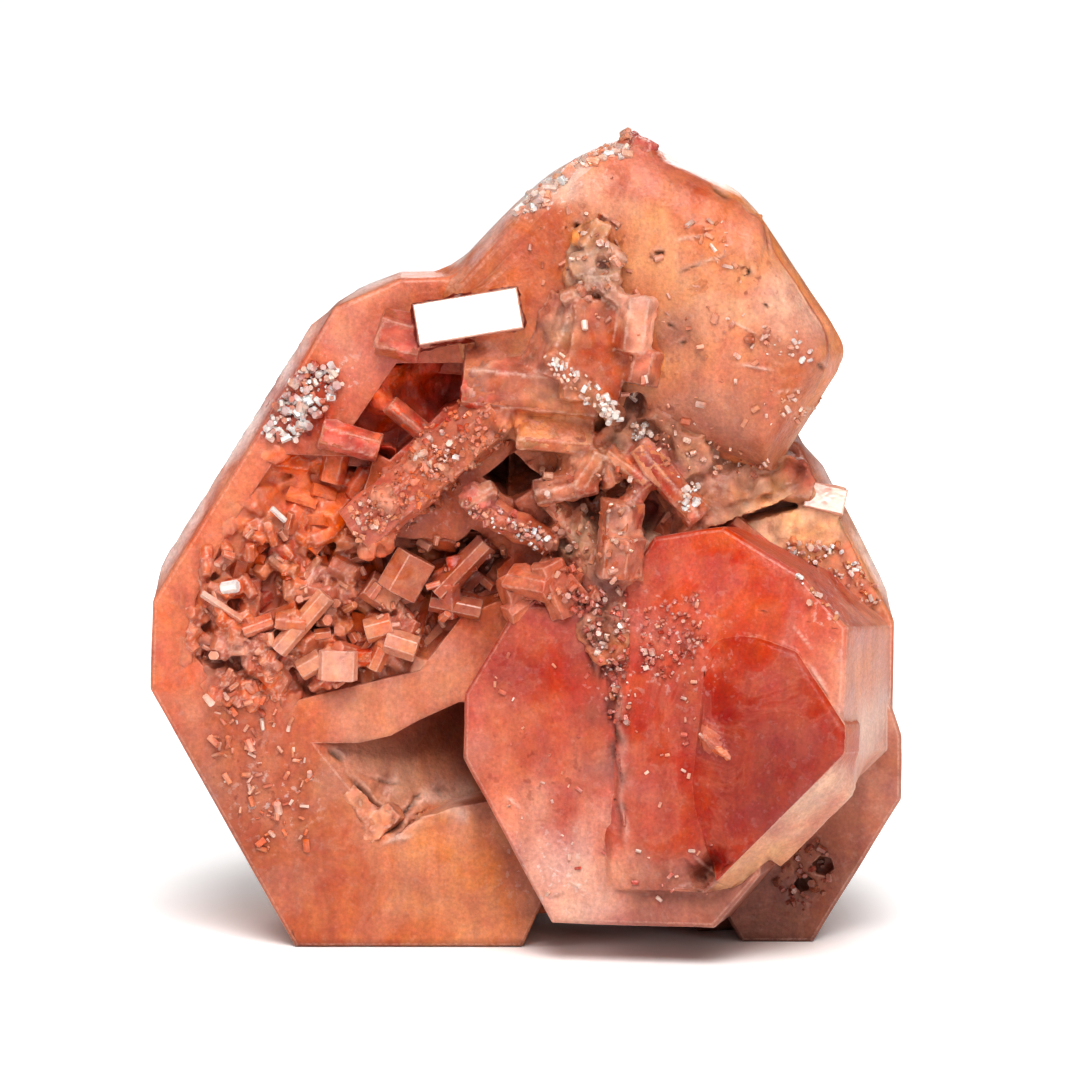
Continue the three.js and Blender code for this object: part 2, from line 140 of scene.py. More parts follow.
def lightRoom(look):
    world = bpy.data.worlds.new("whiteRoom")
    world.use_nodes = True
    tree = world.node_tree
    tree.nodes.clear()
    rays = tree.nodes.new("ShaderNodeLightPath")
    strength = tree.nodes.new("ShaderNodeMapRange")
    strength.inputs["To Min"].default_value = look["surround"]
    strength.inputs["To Max"].default_value = look["backdrop"]
    background = tree.nodes.new("ShaderNodeBackground")
    background.inputs["Color"].default_value = (1, 1, 1, 1)
    out = tree.nodes.new("ShaderNodeOutputWorld")
    tree.links.new(rays.outputs["Is Camera Ray"], strength.inputs["Value"])
    tree.links.new(strength.outputs["Result"], background.inputs["Strength"])
    tree.links.new(background.outputs["Background"], out.inputs["Surface"])
    bpy.context.scene.world = world
    bpy.context.scene.view_settings.view_transform = "Standard"
    bpy.context.scene.view_settings.gamma = tuning["contrast"]


def hangSoftboxes(look):
    aim = Vector(look["aim"])
    for name, (turn, lift, distance, width, height, radiance) in look["softboxes"].items():
        light = bpy.data.lights.new(name, "AREA")
        light.shape = "RECTANGLE"
        light.size = width * mm
        light.size_y = height * mm
        light.energy = radiance * math.pi * width * height * mm * mm
        box = bpy.data.objects.new(name, light)
        bpy.context.scene.collection.objects.link(box)
        around, up = math.radians(turn), math.radians(lift)
        towards = Vector((math.sin(around) * math.cos(up), -math.cos(around) * math.cos(up), math.sin(up)))
        box.location = (aim + towards * distance) * mm
        box.rotation_euler = towards.to_track_quat("Z", "Y").to_euler()


placeCamera(studio)
layFloor(studio)
lightRoom(studio)
hangSoftboxes(studio)
print("studio ready")


def stoneMaterial(name, look):
    material = bpy.data.materials.new(name)
    material.use_nodes = True
    tree = material.node_tree
    tree.nodes.clear()
    make = nodeMaker(tree)

    def noiseAt(scale, detail=3.0, distortion=0.0):
        return make("ShaderNodeTexNoise", {
            "Vector": place, "Scale": scale, "Detail": detail, "Distortion": distortion, "Roughness": 0.6,
        }).outputs["Fac"]

    def spread(value, low, high, fromLow, fromHigh):
        inputs = {"Value": value, "From Min": fromLow, "From Max": fromHigh, "To Min": low, "To Max": high}
        return make("ShaderNodeMapRange", inputs).outputs["Result"]

    def combine(operation, first, second):
        return make("ShaderNodeMath", {0: first, 1: second}, operation=operation).outputs[0]

    def mixIn(share, base, colour, clamp=True):
        node = make("ShaderNodeMix", {0: share, 6: base, 7: colour}, data_type="RGBA", clamp_factor=clamp)
        return node.outputs[2]

    def paint(nameOfLayer, output="Fac"):
        return make("ShaderNodeAttribute", attribute_name=nameOfLayer).outputs[output]

    coordinates = make("ShaderNodeTexCoord").outputs["Object"]
    place = make("ShaderNodeVectorMath", {0: coordinates, "Scale": 1 / mm}, operation="SCALE").outputs[0]

    cloud = noiseAt(look["cloudScale"], 5.0, 0.7)
    drift = noiseAt(look["cloudScale"] * 2.7, 4.0, 0.4)
    fine = noiseAt(look["fineScale"], 3.0)
    colour = make("ShaderNodeHueSaturation", {
        "Hue": spread(drift, 0.5 - look["hueDrift"], 0.5 + look["hueDrift"], 0.3, 0.7),
        "Saturation": spread(cloud, 1 + look["cloud"], 1 - look["cloud"], 0.35, 0.65),
        "Value": spread(drift, 1 - look["cloud"], 1 + look["cloud"], 0.3, 0.7),
        "Color": paint("tint", "Color"),
    }).outputs["Color"]
    tall = make("ShaderNodeVectorMath", {0: place, 1: (1.9, 1.9, 0.3)}, operation="MULTIPLY").outputs[0]
    streak = make("ShaderNodeTexNoise", {"Vector": tall, "Scale": 1.0, "Detail": 4.0, "Roughness": 0.6})
    streak = spread(streak.outputs["Fac"], 1 - look["streaks"], 1 + look["streaks"], 0.3, 0.7)
    colour = make("ShaderNodeVectorMath", {0: colour, "Scale": streak}, operation="SCALE").outputs[0]
    offCloud = make("ShaderNodeMath", {0: combine("SUBTRACT", cloud, 0.5)}, operation="ABSOLUTE").outputs[0]
    veins = spread(offCloud, look["veins"], 0.0, 0.0, 0.035)
    colour = mixIn(veins, colour, (*linearColour("blush"), 1))
    grain = spread(fine, 1 - look["grain"], 1 + look["grain"], 0.3, 0.7)
    colour = make("ShaderNodeVectorMath", {0: colour, "Scale": grain}, operation="SCALE").outputs[0]
    grit = combine("MULTIPLY", spread(noiseAt(look["gritScale"], 2.0), 0, 1, 0.60, 0.68),
                   combine("ADD", look["grit"], paint("grit")))
    colour = mixIn(grit, colour, (*linearColour("darkRed"), 1))
    # White specks, partly pale dust and partly painted glints of tiny crystals.
    dustAndGlints = combine("MULTIPLY", spread(noiseAt(look["dustAndGlintsScale"], 3.0), 0, 1, 0.58, 0.66),
                   combine("ADD", look["dustAndGlints"], paint("dustAndGlints")))
    colour = mixIn(dustAndGlints, colour, (*linearColour("snow"), 1))
    # The rim faces get a pale cream line, a painted highlight along the edges.
    rim = combine("MULTIPLY", paint("rim"), spread(fine, 0.25 * look["rim"], look["rim"], 0.35, 0.6))
    colour = mixIn(rim, colour, (*linearColour("cream"), 1))

    rough = combine("ADD", spread(drift, look["roughness"] - 0.08, look["roughness"] + 0.1, 0.3, 0.7),
                    combine("MULTIPLY", dustAndGlints, 0.15))
    height = combine("ADD", combine("MULTIPLY", noiseAt(1.4, 3.0, 0.3), look["swell"]),
                     combine("ADD", combine("MULTIPLY", noiseAt(6.0, 4.0), look["ripple"]),
                             combine("MULTIPLY", combine("SUBTRACT", fine, combine("MULTIPLY", grit, 0.6)),
                                     look["tooth"])))
    bump = make("ShaderNodeBump", {"Height": height, "Strength": 1.0, "Distance": mm}).outputs["Normal"]
    shader = make("ShaderNodeBsdfPrincipled", {
        "Base Color": colour,
        "Roughness": rough,
        "Normal": bump,
        "IOR": look["ior"],
        "Specular IOR Level": look["sheen"],
        "Subsurface Weight": look["glow"],
        "Subsurface Radius": (1.0, 0.32, 0.16),
        "Subsurface Scale": look["glowDepth"] * mm,
    })
    out = make("ShaderNodeOutputMaterial")
    tree.links.new(shader.outputs["BSDF"], out.inputs["Surface"])
    return material


# Soft patches of colour: x, z, reach, colour and strength of each.
def paintTints(points, look, under=None):
    weight = np.ones((len(points), 1))
    mixed = np.tile(linearColour(look["base"]), (len(points), 1)) if under is None else under.copy()
    for x, z, reach, colour, strength in look["patches"]:
        far = ((points[:, [0, 2]] - (x, z)) ** 2).sum(1, keepdims=True) / reach ** 2
        share = strength * np.exp(-far)
        mixed += share * linearColour(colour)
        weight += share
    return mixed / weight


def paintAmount(points, patches):
    amount = np.zeros(len(points))
    for x, z, reach, strength in patches:
        far = ((points[:, [0, 2]] - (x, z)) ** 2).sum(1) / reach ** 2
        amount = np.maximum(amount, strength * np.exp(-far))
    return amount


def placement(at, turn=0, lift=0, roll=0):
    return (Matrix.Translation(at) @ Matrix.Rotation(math.radians(turn), 4, "Z")
            @ Matrix.Rotation(math.radians(90 - lift), 4, "X") @ Matrix.Rotation(math.radians(roll), 4, "Z"))


clusterBody = {  # the large plates grown together, in one piece
    "look": {  # waxy stone
        "cloudScale": 0.42, "cloud": 0.09, "hueDrift": 0.008, "veins": 0.12, "streaks": 0.12,
        "fineScale": 9.0, "grain": 0.13, "gritScale": 3.1, "grit": 0.1, "dustAndGlintsScale": 4.3, "dustAndGlints": 0.05,
        "rim": 0.25, "roughness": 0.38, "swell": 0.06, "ripple": 0.024, "tooth": 0.016, "ior": 1.55,
        "sheen": 0.35, "glow": 0.12, "glowDepth": 0.4,
    },
    "mesh": {  # worn rims, longest edge in front, at the sides, behind and by the cracks, and the waviness
        "edge": 0.035, "front": 0.38, "sides": 0.6, "back": 1.3, "fine": 0.125, "cell": 0.18, "wave": 0.035,
        "join": 0.004, "flat": 0.7,  # corners this close are one; so are faces within this many degrees
        "frontTo": -1.4, "sidesTo": 1.5,  # y where the front ends and where the back starts
        "easing": 10,
    },
    "plates": {  # where each face is, which way it looks, the sides of its prism and its colours
        "redField": {
            "at": (6.07, -5.82, 8.04), "turn": -18, "lift": 8, "thick": 0.1,
            "faces": [
                (-43, 3.47), (0, 3.68), (37, 2.76), (73, 2.38), (100, 2.2), (176, 0.91), (200, 1.95),
            ],
            "base": "deepRed", "plainRims": True,
            "patches": [
                (7.9, 8.9, 0.9, "brick", 2.0), (6.3, 9.6, 0.8, "brick", 1.5),
                (7.4, 5.4, 1.2, "darkRed", 1.0), (6.0, 9.8, 0.8, "redOrange", 3.0),
                (6.2, 7.6, 3.4, "darkRed", 0.3),
            ],
        },
        "frontRight": {
            "at": (6, -5.6, 8), "turn": -18, "lift": 8, "thick": 5.8,
            "faces": [
                (-43, 3.5), (0, 3.7), (45, 4.5), (62, 4.75), (100, 5.5), (147, 4.9), (180, 3.45),
                (-90, 5.6),
            ],
            "base": "brick",
            "patches": [
                (4.6, 8.6, 0.8, "deepRed", 4.0), (4.8, 7.0, 0.8, "deepRed", 4.0),
                (5.2, 5.2, 0.8, "deepRed", 4.0), (2.7, 8.0, 0.22, "umber", 8.0),
                (2.75, 7.0, 0.18, "umber", 8.0), (2.85, 6.0, 0.16, "umber", 7.0),
                (2.9, 5.0, 0.14, "umber", 6.0), (4.4, 2.2, 0.9, "mauveBrown", 5.0),
                (5.6, 2.0, 0.8, "dusk", 4.0), (5.6, 12.2, 1.7, "redOrange", 4.0),
                (8.2, 10.6, 1.2, "pink", 5.0), (6.8, 11.6, 0.9, "redOrange", 3.0),
                (3.6, 9.5, 1.2, "rosePink", 3.0), (3.6, 6.5, 1.6, "brick", 3.0),
                (4.2, 1.9, 1.0, "mauve", 3.0), (10.4, 9.2, 1.3, "blush", 6.0),
                # cream, blush and sunlit from 10.4, 6.6 to 6.3, 2.5 are painted light on the bevel that faces
                # down and right.
                (10.4, 6.6, 1.2, "cream", 8.0), (10.0, 5.8, 0.6, "blush", 12.0),
                (9.1, 5.0, 0.6, "blush", 12.0), (8.2, 4.2, 0.5, "sunlit", 12.0),
                (7.2, 3.3, 0.5, "sunlit", 12.0), (6.3, 2.5, 0.4, "sunlit", 8.0),
                # mauveBrown, umber and dusk along the bottom, here and at 4.4, 2.2 and 5.6, 2.0 above, are
                # painted shade on the shaded underside.
                (4.6, 1.6, 1.0, "mauveBrown", 8.0), (5.2, 2.0, 1.0, "umber", 4.0),
                (2.7, 2.5, 0.7, "blush", 14.0), (3.4, 2.5, 0.7, "dusk", 8.0),
            ],
        },
        "frontLeft": {
            "at": (1, -4.5, 6), "turn": -9, "lift": 6, "thick": 5.5,
            "faces": [
                (180, 3), (209.5, 2.5), (-90, 4.75), (-40, 6.75), (0, 6.2), (40, 6), (90, 5), (150, 3.7),
            ],
            "base": "rosePink",
            "patches": [
                (2.2, 7.6, 0.4, "dusk", 6.0), (2.3, 6.2, 0.35, "dusk", 5.0),
                (1.2, 6.4, 0.8, "mauve", 3.0), (-0.8, 7.2, 1.1, "pink", 3.0),
                (0.3, 9.8, 1.4, "brick", 4.0), (1.4, 2.4, 1.2, "pearl", 6.0),
                (-0.4, 4.6, 1.0, "blush", 3.0), (1.0, 4.7, 0.45, "deepRed", 7.0),
                (2.3, 4.2, 0.7, "blush", 3.0), (-1.4, 5.6, 0.6, "clay", 3.0),
                (0.9, 8.6, 0.5, "deepRed", 4.0), (-0.4, 9.0, 0.5, "dusk", 4.0),
                (1.7, 9.6, 0.6, "dusk", 5.0), (0.2, 7.6, 0.5, "mauve", 4.0), (0.0, 6.2, 0.5, "clay", 4.0),
                # peach at 7.4, 3.7 is painted light on the bevel; the mauveBrown patches near the bottom are
                # painted shade.
                (1.6, 5.4, 0.4, "clay", 4.0), (7.4, 3.7, 0.6, "peach", 10.0),
                (5.6, 1.8, 0.9, "mauveBrown", 16.0), (6.9, 2.3, 0.8, "mauveBrown", 12.0),
                (3.8, 1.9, 0.8, "mauveBrown", 9.0), (-0.4, 9.3, 0.8, "deepRed", 5.0),
                (-0.2, 9.0, 0.8, "darkRed", 1.5), (-0.8, 6.6, 1.0, "mauve", 4.0),
                (-1.2, 8.2, 0.6, "brick", 4.0), (0.2, 9.4, 1.1, "deepRed", 6.0),
                (0.9, 7.0, 1.3, "brick", 3.0),
            ],
        },
        "upperFace": {
            "at": (4.5, -4.1, 19.5), "turn": -9, "lift": 2, "thick": 1.3,
            "faces": [
                (137, 5.2), (110.6, 5.45), (64.7, 4.15), (33.7, 3.6), (0, 4.4), (-22, 4.4), (249, 3.1),
                (205, 5.6),
            ],
            "base": "orangeTan",
            "patches": [
                (-0.4, 21.6, 1.5, "deepSalmon", 4.0), (-0.2, 21.4, 1.6, "rust", 5.0),
                # cream at 1.0, 23.6 is a painted reflection on the rim seen at a grazing angle.
                (1.0, 23.6, 0.5, "cream", 4.0), (4.4, 21.3, 1.5, "apricot", 3.0),
                (6.6, 20.4, 1.2, "peach", 4.0), (8.4, 20.4, 1.1, "pearl", 5.0),
                (6.0, 16.4, 1.3, "mauve", 6.0), (6.4, 15.6, 1.2, "mauveBrown", 3.0),
                (4.0, 16.9, 1.1, "mauve", 6.0), (3.4, 18.2, 0.8, "greyTan", 4.0),
                (2.1, 23.9, 0.8, "peach", 5.0), (3.3, 24.4, 0.7, "rosePink", 4.0),
                (5.2, 23.9, 0.8, "brick", 4.0), (4.8, 17.4, 0.45, "mauveBrown", 6.0),
                (5.6, 22.6, 0.9, "salmon", 4.0), (7.9, 18.1, 0.9, "terracotta", 9.0),
                (6.4, 18.4, 1.2, "deepSalmon", 3.0), (8.8, 16.6, 0.8, "salmon", 4.0),
                (7.6, 16.4, 0.7, "terracotta", 4.0), (7.0, 22.4, 0.7, "paleSalmon", 4.0),
                (4.3, 19.0, 0.4, "mauveBrown", 4.0), (6.6, 21.2, 0.4, "terracotta", 3.0),
                (5.3, 18.6, 0.3, "mauveBrown", 4.0), (2.6, 23.9, 0.24, "brick", 14.0),
                (5.2, 19.6, 1.4, "greyTan", 1.5),
            ],
        },
        "upperRim": {
            "at": (4.5, -2.8, 19.5), "turn": 0, "lift": 0, "thick": 5.2,
            "faces": [
                (137, 5.65), (110.6, 5.65), (64.7, 4.3), (33.7, 3.95), (0, 5.2), (-32.5, 5.03),
                (249, 3.4), (190, 6.6),
            ],
            "base": "orangeTan",
            "patches": [
                (-0.9, 21.6, 1.5, "deepSalmon", 4.0), (-0.9, 21.6, 1.5, "rust", 3.0),
                (9.2, 18.6, 1.2, "apricot", 10.0), (9.3, 18.6, 1.2, "flame", 7.0),
                # cream along the upper left rim is a painted reflection of the white room on the rim face
                # seen at a grazing angle.
                (0.2, 23.4, 0.5, "cream", 9.0), (1.1, 24.3, 0.5, "cream", 9.0),
                (2.0, 24.9, 0.4, "cream", 7.0), (-0.9, 22.4, 0.4, "blush", 5.0),
                (6.4, 15.9, 1.8, "greyTan", 5.0), (3.0, 24.8, 1.0, "rosePink", 4.0),
                (5.2, 24.2, 0.8, "brick", 4.0), (3.6, 16.0, 1.5, "ashTan", 4.0),
                (8.9, 17.4, 0.8, "clay", 4.0),
            ],
        },
        "rightFoot": {
            "at": (6, -1.7, 4), "turn": 0, "lift": 0, "thick": 4.6,
            "faces": [(18, 6.1), (0, 5.6), (-31, 4.54), (-90, 4), (-150, 1.41), (150, 3), (90, 5)],
            # The mauveBrown base and the umber patch are painted shade: this foot lies in the shade of the
            # crystal in front.
            "base": "mauveBrown",
            "patches": [
                (9.6, 7.6, 1.6, "blush", 3.0), (8.3, 1.4, 1.5, "umber", 4.0),
                (10.8, 4.6, 1.2, "mauve", 2.0),
            ],
        },
        "rightPlate": {
            "at": (5.5, -1.5, 7), "turn": 0, "lift": 0, "thick": 4.5,
            "faces": [
                (28, 6.6), (0, 5.85), (-35, 6), (-90, 5.5), (-150, 4), (150, 5), (90, 9.3), (62, 8.95),
            ],
            "base": "clay",
            "patches": [
                # pearl at 7.2, 13.4 is painted light lifting this face out of the upper plate's shadow;
                # mauveBrown at 9.0, 3.0 is painted shade low down behind the front crystal.
                (7.2, 13.4, 1.4, "pearl", 8.0), (8.6, 12.4, 1.4, "peach", 3.0),
                (10.8, 11.6, 1.1, "apricot", 4.0), (8.5, 15.6, 0.7, "rust", 6.0),
                (9.0, 3.0, 2.6, "mauveBrown", 4.0),
            ],
        },
        "leftPlate": {
            "at": (-1.5, -2.5, 10), "turn": 0, "lift": 0, "thick": 6,
            "faces": [
                (-90, 10), (208.6, 9.78), (178, 10.03), (148, 8.93), (30, 7.5), (-25, 5.45), (115, 10.8),
                (91, 10.85),
            ],
            "base": "salmon",
            "patches": [
                (-5.4, 19.2, 1.2, "blush", 3.0), (-6.2, 18.2, 1.5, "pink", 4.0),
                (-2.8, 20.6, 1.8, "salmon", 3.0), (-9.0, 4.8, 2.0, "terracotta", 12.0),
                (-8.8, 4.2, 1.8, "mauveBrown", 6.0), (-11.0, 9.6, 1.0, "deepSalmon", 6.0),
                (-6.6, 1.8, 1.8, "terracotta", 10.0), (-8.2, 3.4, 1.2, "mauveBrown", 2.5),
                (-7.2, 2.4, 0.9, "mauveBrown", 1.5), (-3.9, 19.0, 1.0, "rosePink", 2.0),
                (-1.9, 1.8, 2.0, "orangeTan", 5.0), (-4.6, 7.9, 1.1, "paleTan", 5.0),
                (-2.6, 8.3, 1.0, "paleTan", 5.0), (-8.2, 7.2, 1.3, "clay", 4.0),
                (-5.6, 14.6, 1.5, "rust", 5.0), (-3.0, 16.9, 0.9, "redOrange", 12.0),
                # The umber and mauveBrown patches around z 6 are painted shade under the overhang of the
                # step; those from -1.6, 5.0 down to 0.2, 1.2 are a painted shadow of the front crystal.
                (-3.9, 16.2, 0.7, "redOrange", 6.0), (-2.25, 6.5, 0.42, "umber", 9.0),
                (-2.9, 6.3, 0.42, "umber", 7.0), (-3.8, 6.0, 0.36, "umber", 5.0),
                (-5.0, 6.05, 0.3, "mauveBrown", 4.0), (-2.3, 5.7, 0.5, "umber", 3.0),
                (-5.7, 6.15, 0.22, "umber", 6.0), (-1.6, 5.0, 0.4, "umber", 4.0),
                (-1.1, 4.1, 0.4, "umber", 4.0), (-0.6, 3.1, 0.4, "mauveBrown", 5.0),
                (-0.2, 2.2, 0.4, "mauveBrown", 5.0), (0.2, 1.2, 0.45, "mauveBrown", 5.0),
                # pearl, cream and blush around -3, 4 are a painted highlight on the upper edge of the lower
                # bulge.
                (-3.6, 4.1, 0.35, "pearl", 4.0), (-2.8, 4.5, 0.3, "cream", 3.0),
                (-4.6, 8.3, 0.7, "mauve", 5.0), (-5.4, 8.0, 0.5, "mauveBrown", 4.0),
                (-2.6, 3.6, 0.35, "blush", 6.0), (-2.2, 4.4, 0.25, "cream", 6.0),
                (-2.2, 11.6, 1.6, "rust", 4.0), (-5.2, 5.4, 1.0, "greyTan", 5.0),
                (-3.6, 5.0, 0.9, "ashTan", 4.0), (-3.0, 3.0, 1.2, "orangeTan", 4.0),
                (-3.0, 1.6, 1.0, "terracotta", 5.0), (-6.9, 17.0, 1.2, "deepRed", 2.5),
                (-4.6, 20.2, 0.8, "blush", 2.0),
            ],
        },
        "behind": {
            "at": (0, 3.0, 12), "turn": 180, "lift": 0, "thick": 60,
            "faces": [(0, 60), (120, 60), (240, 60)], "base": "clay",
            "patches": [
                (-2.6, 8.4, 4.0, "salmon", 3.0), (6.2, 5.5, 3.0, "brick", 3.0),
                (3.8, 18.5, 3.0, "orangeTan", 4.0), (2.6, 12.2, 1.8, "rust", 4.0),
                (-5.2, 13.4, 1.6, "pink", 3.0), (-5.5, 2.8, 2.4, "terracotta", 3.0),
                (9.2, 10.0, 2.0, "paleTan", 3.0),
            ],
        },
    },
    "between": {  # colours of the porous middle that the blocks grow from
        "base": "greyTan",
        "patches": [
            (0.2, 12.6, 1.4, "dusk", 4.0), (2.0, 13.6, 1.2, "ashTan", 3.0),
            (4.2, 14.0, 1.0, "brick", 5.0), (6.0, 15.0, 1.6, "greyTan", 3.0),
            # umber at -0.6, 14.8 and at 3.2, 17.4 is painted shade in the cavities.
            (-0.6, 14.8, 0.9, "umber", 5.0), (1.0, 11.2, 1.3, "dusk", 4.0),
            (-1.5, 17.8, 2.0, "clay", 4.0), (3.2, 17.4, 0.6, "umber", 4.0),
        ],
    },
    "dustAndGlints": [  # x, z, reach, strength of the white specks, partly pale dust and partly painted glints
        (-7.0, 17.2, 0.9, 0.8), (-5.8, 17.8, 0.7, 0.5), (1.6, 17.9, 0.8, 0.8), (0.6, 23.6, 1.0, 0.7),
        (4.4, 10.0, 1.3, 0.5), (2.7, 9.0, 0.7, 0.6), (-3.2, 14.8, 1.6, 0.4), (1.6, 13.6, 1.3, 0.5),
        (-7.8, 4.8, 1.2, 0.35), (0.6, 2.8, 1.2, 0.4), (3.4, 16.3, 0.4, 0.9), (9.4, 11.0, 0.9, 0.4),
    ],
    "grit": [  # the same for the dark specks
        (-7.2, 16.8, 0.9, 0.9), (2.0, 22.0, 1.0, 0.6), (4.0, 17.6, 1.2, 0.4), (6.8, 20.6, 1.2, 0.4),
        (0.4, 6.0, 1.6, 0.35), (2.6, 9.4, 0.8, 0.8), (8.6, 2.0, 1.0, 0.9), (9.0, 12.2, 0.8, 0.6),
        (1.6, 13.4, 1.6, 0.6), (-8.6, 5.4, 1.4, 0.5), (4.6, 9.6, 1.2, 0.4),
    ],
    "flares": [  # sides that lean forward: plate, side, from and to how deep, widest at, how far out
        ("leftPlate", 148, 0.2, 3.3, 0.25, 0.34), ("leftPlate", 115, 0.2, 3.3, 0.25, 0.2),
        ("upperRim", 137, 0.1, 3.4, 0.25, 0.42), ("upperRim", 110.6, 0.1, 3.4, 0.25, 0.26),
        ("upperRim", 64.7, 0.1, 3.4, 0.25, 0.18), ("rightPlate", 28, 0.2, 2.9, 0.25, 0.3),
        ("frontRight", -43, 0.02, 4.5, 0.3, 0.85),
    ],
    "soft": [  # x, z, reach across and up, rounds of blurring, how far behind the front
        (4.9, 9.6, 2.1, 2.5, 40, 0.8), (5.2, 6.2, 1.3, 4.0, 40, 0.8), (2.6, 6.6, 0.7, 3.4, 24, 1.2),
        (-6.6, 10.4, 4.6, 3.9, 24, 0.9), (-5.6, 4.5, 0.9, 1.1, 16, 0.9), (2.7, 3.2, 0.8, 1.6, 30, 1.2),
        (4.2, 2.35, 1.7, 0.6, 24, 1.2),
    ],
    "dome": {  # how the upper plate rounds off: side of its outline and width of the slope
        "plate": "upperRim", "face": "upperFace", "rim": -2.95, "behind": -1.9, "above": 14.6, "left": 5.6,
        "slopes": {137: 1.3, 110.6: 1.2, 64.7: 1.0, 33.7: 1.15, 0: 1.0, -32.5: 1.4, 249: 1.7},
    },
    "worn": {  # the upper plate's rims
        "x": 4.4, "z": 20.9, "across": 7.0, "up": 5.0, "behind": 0.8, "rounds": 26,
    },
    "hollow": {  # y of the left plate's face and of the floor of the hollow in it
        "outline": [
            (-9.2, 13), (-10.2, 10.9), (-10.2, 9.1), (-9.3, 8.1), (-7, 7.8), (-3.3, 8.7), (-2, 10.4),
            (-0.7, 10.9), (-1.2, 12.7), (-5.4, 12.9), (-4.7, 15.3), (-7.6, 15.4),
        ],
        "level": -2.5, "floor": -1.8,
    },
    "forms": [  # x, z, reach across and up, turn, height towards the front, nearest and furthest y
        (6.7, 21.0, 0.3, 2.4, -8, 0.16, -6, -3), (-5.3, 18.9, 1.1, 1.4, -20, 0.14, -3.5, -2),
        (-2.9, 2.6, 1.5, 0.9, -25, 0.16, -3.0, 1.0), (-2.0, 3.2, 0.6, 0.45, 0, 0.12, -3.0, 1.0),
        (-1.2, 2.0, 0.5, 0.6, 30, 0.1, -3.0, 1.0), (5.4, 21.4, 1.1, 0.7, 10, 0.1, -6, -3),
        (5.3, 22.6, 0.5, 0.22, 10, 0.12, -6, -3), (6.0, 21.9, 0.6, 0.2, 24, 0.12, -6, -3),
        (7.6, 19.2, 0.7, 0.25, -20, 0.1, -6, -3), (7.8, 17.1, 0.6, 0.3, -10, 0.1, -6, -3),
        (-3.6, 3.9, 0.9, 0.3, 34, 0.12, -3, 1), (-4.6, 4.7, 0.25, 0.8, -38, -0.14, -3, 1),
        (4.3, 18.8, 1.4, 1.0, -30, -0.1, -6, -3), (7.6, 19.0, 1.0, 1.5, -30, -0.1, -6, -3),
        (0.8, 21.6, 1.0, 1.3, 30, -0.12, -6, -3), (2.7, 24.0, 0.3, 0.3, 0, -0.12, -6, -2.5),
        (6.0, 12.6, 1.6, 0.6, -24, 0.08, -8, -4.5), (0.4, 5.2, 0.8, 1.2, 20, -0.06, -7, -3.5),
    ],
    "cracks": [  # x, z, half length, half width, turn, depth; grooves get painted shade and a painted highlight on one lip, and a minus depth is a ridge with a painted highlight
        (-4.73, 4.57, 0.95, 0.07, -48, 0.22), (-4.27, 3.68, 0.4, 0.08, 33, 0.2),
        (-3.73, 4.19, 0.42, 0.06, 52, 0.16), (-3.03, 4.62, 0.5, 0.05, 13, 0.14),
        (-4.35, 5.1, 0.5, 0.04, -14, 0.08), (-4.0, 3.42, 0.5, 0.06, 20, -0.1),
        (-3.0, 4.42, 0.5, 0.08, 10, -0.12), (-5.15, 4.2, 0.6, 0.04, -80, 0.07),
        (-5.9, 6.0, 0.28, 0.09, -40, 0.12), (2.62, 7.4, 1.9, 0.12, -86, 0.08),
        (2.78, 4.8, 1.1, 0.08, -84, 0.05), (2.35, 9.6, 0.8, 0.06, -96, 0.12),
        (1.9, 9.5, 0.7, 0.05, -78, 0.08), (5.4, 3.2, 0.45, 0.05, -52, -0.08),
        (8.8, 9.05, 0.5, 0.05, -60, -0.08), (8.3, 10.3, 0.4, 0.04, -50, -0.06),
        (10.1, 11.15, 0.8, 0.06, -20, -0.12), (8.9, 12.5, 0.55, 0.12, -34, 0.22),
        (9.3, 11.9, 0.3, 0.1, 10, 0.16), (1.5, 22.5, 0.12, 0.1, 0, 0.14),
        (2.35, 22.65, 0.2, 0.08, -30, 0.14), (4.0, 21.7, 0.16, 0.08, 20, 0.12),
        (3.8, 21.55, 0.1, 0.06, -40, 0.1), (6.72, 21.15, 0.12, 0.07, -60, 0.12),
        (6.5, 21.3, 0.14, 0.05, 30, 0.08), (7.25, 22.2, 0.5, 0.04, -82, 0.07),
        (7.2, 20.2, 0.12, 0.06, -70, 0.12), (4.35, 19.5, 0.14, 0.07, -30, 0.1),
        (4.7, 19.0, 0.12, 0.06, 40, 0.1), (3.25, 25.05, 0.2, 0.08, 30, 0.12),
        (5.05, 24.3, 0.5, 0.12, -32, 0.12), (5.9, 23.5, 0.3, 0.09, -30, 0.1),
        (5.0, 22.2, 0.5, 0.05, 14, -0.1), (5.6, 21.55, 0.5, 0.05, 24, -0.1),
        (5.0, 21.3, 0.4, 0.04, 30, 0.08), (6.6, 19.5, 0.4, 0.04, -30, -0.07),
        (6.9, 18.3, 0.5, 0.04, -8, -0.07), (8.7, 16.9, 0.35, 0.04, -12, -0.07),
        (7.9, 17.6, 0.4, 0.04, 12, -0.07), (8.9, 18.3, 0.15, 0.08, -50, 0.1),
        (-0.4, 4.9, 0.25, 0.05, -40, -0.06), (1.6, 2.4, 0.35, 0.05, -30, -0.08),
        (0.9, 2.1, 0.25, 0.04, 30, 0.06),
    ],
    "rough": [  # x, z, reach, height of the lumps where the middle is porous
        (-1.6, 13.2, 2.6, 0.18), (2.2, 14.4, 2.2, 0.16), (0.4, 17.4, 1.8, 0.1), (0.4, 12.0, 1.6, 0.14),
        (-4.2, 14.8, 1.6, 0.08), (8.6, 2.2, 0.7, 0.2),
    ],
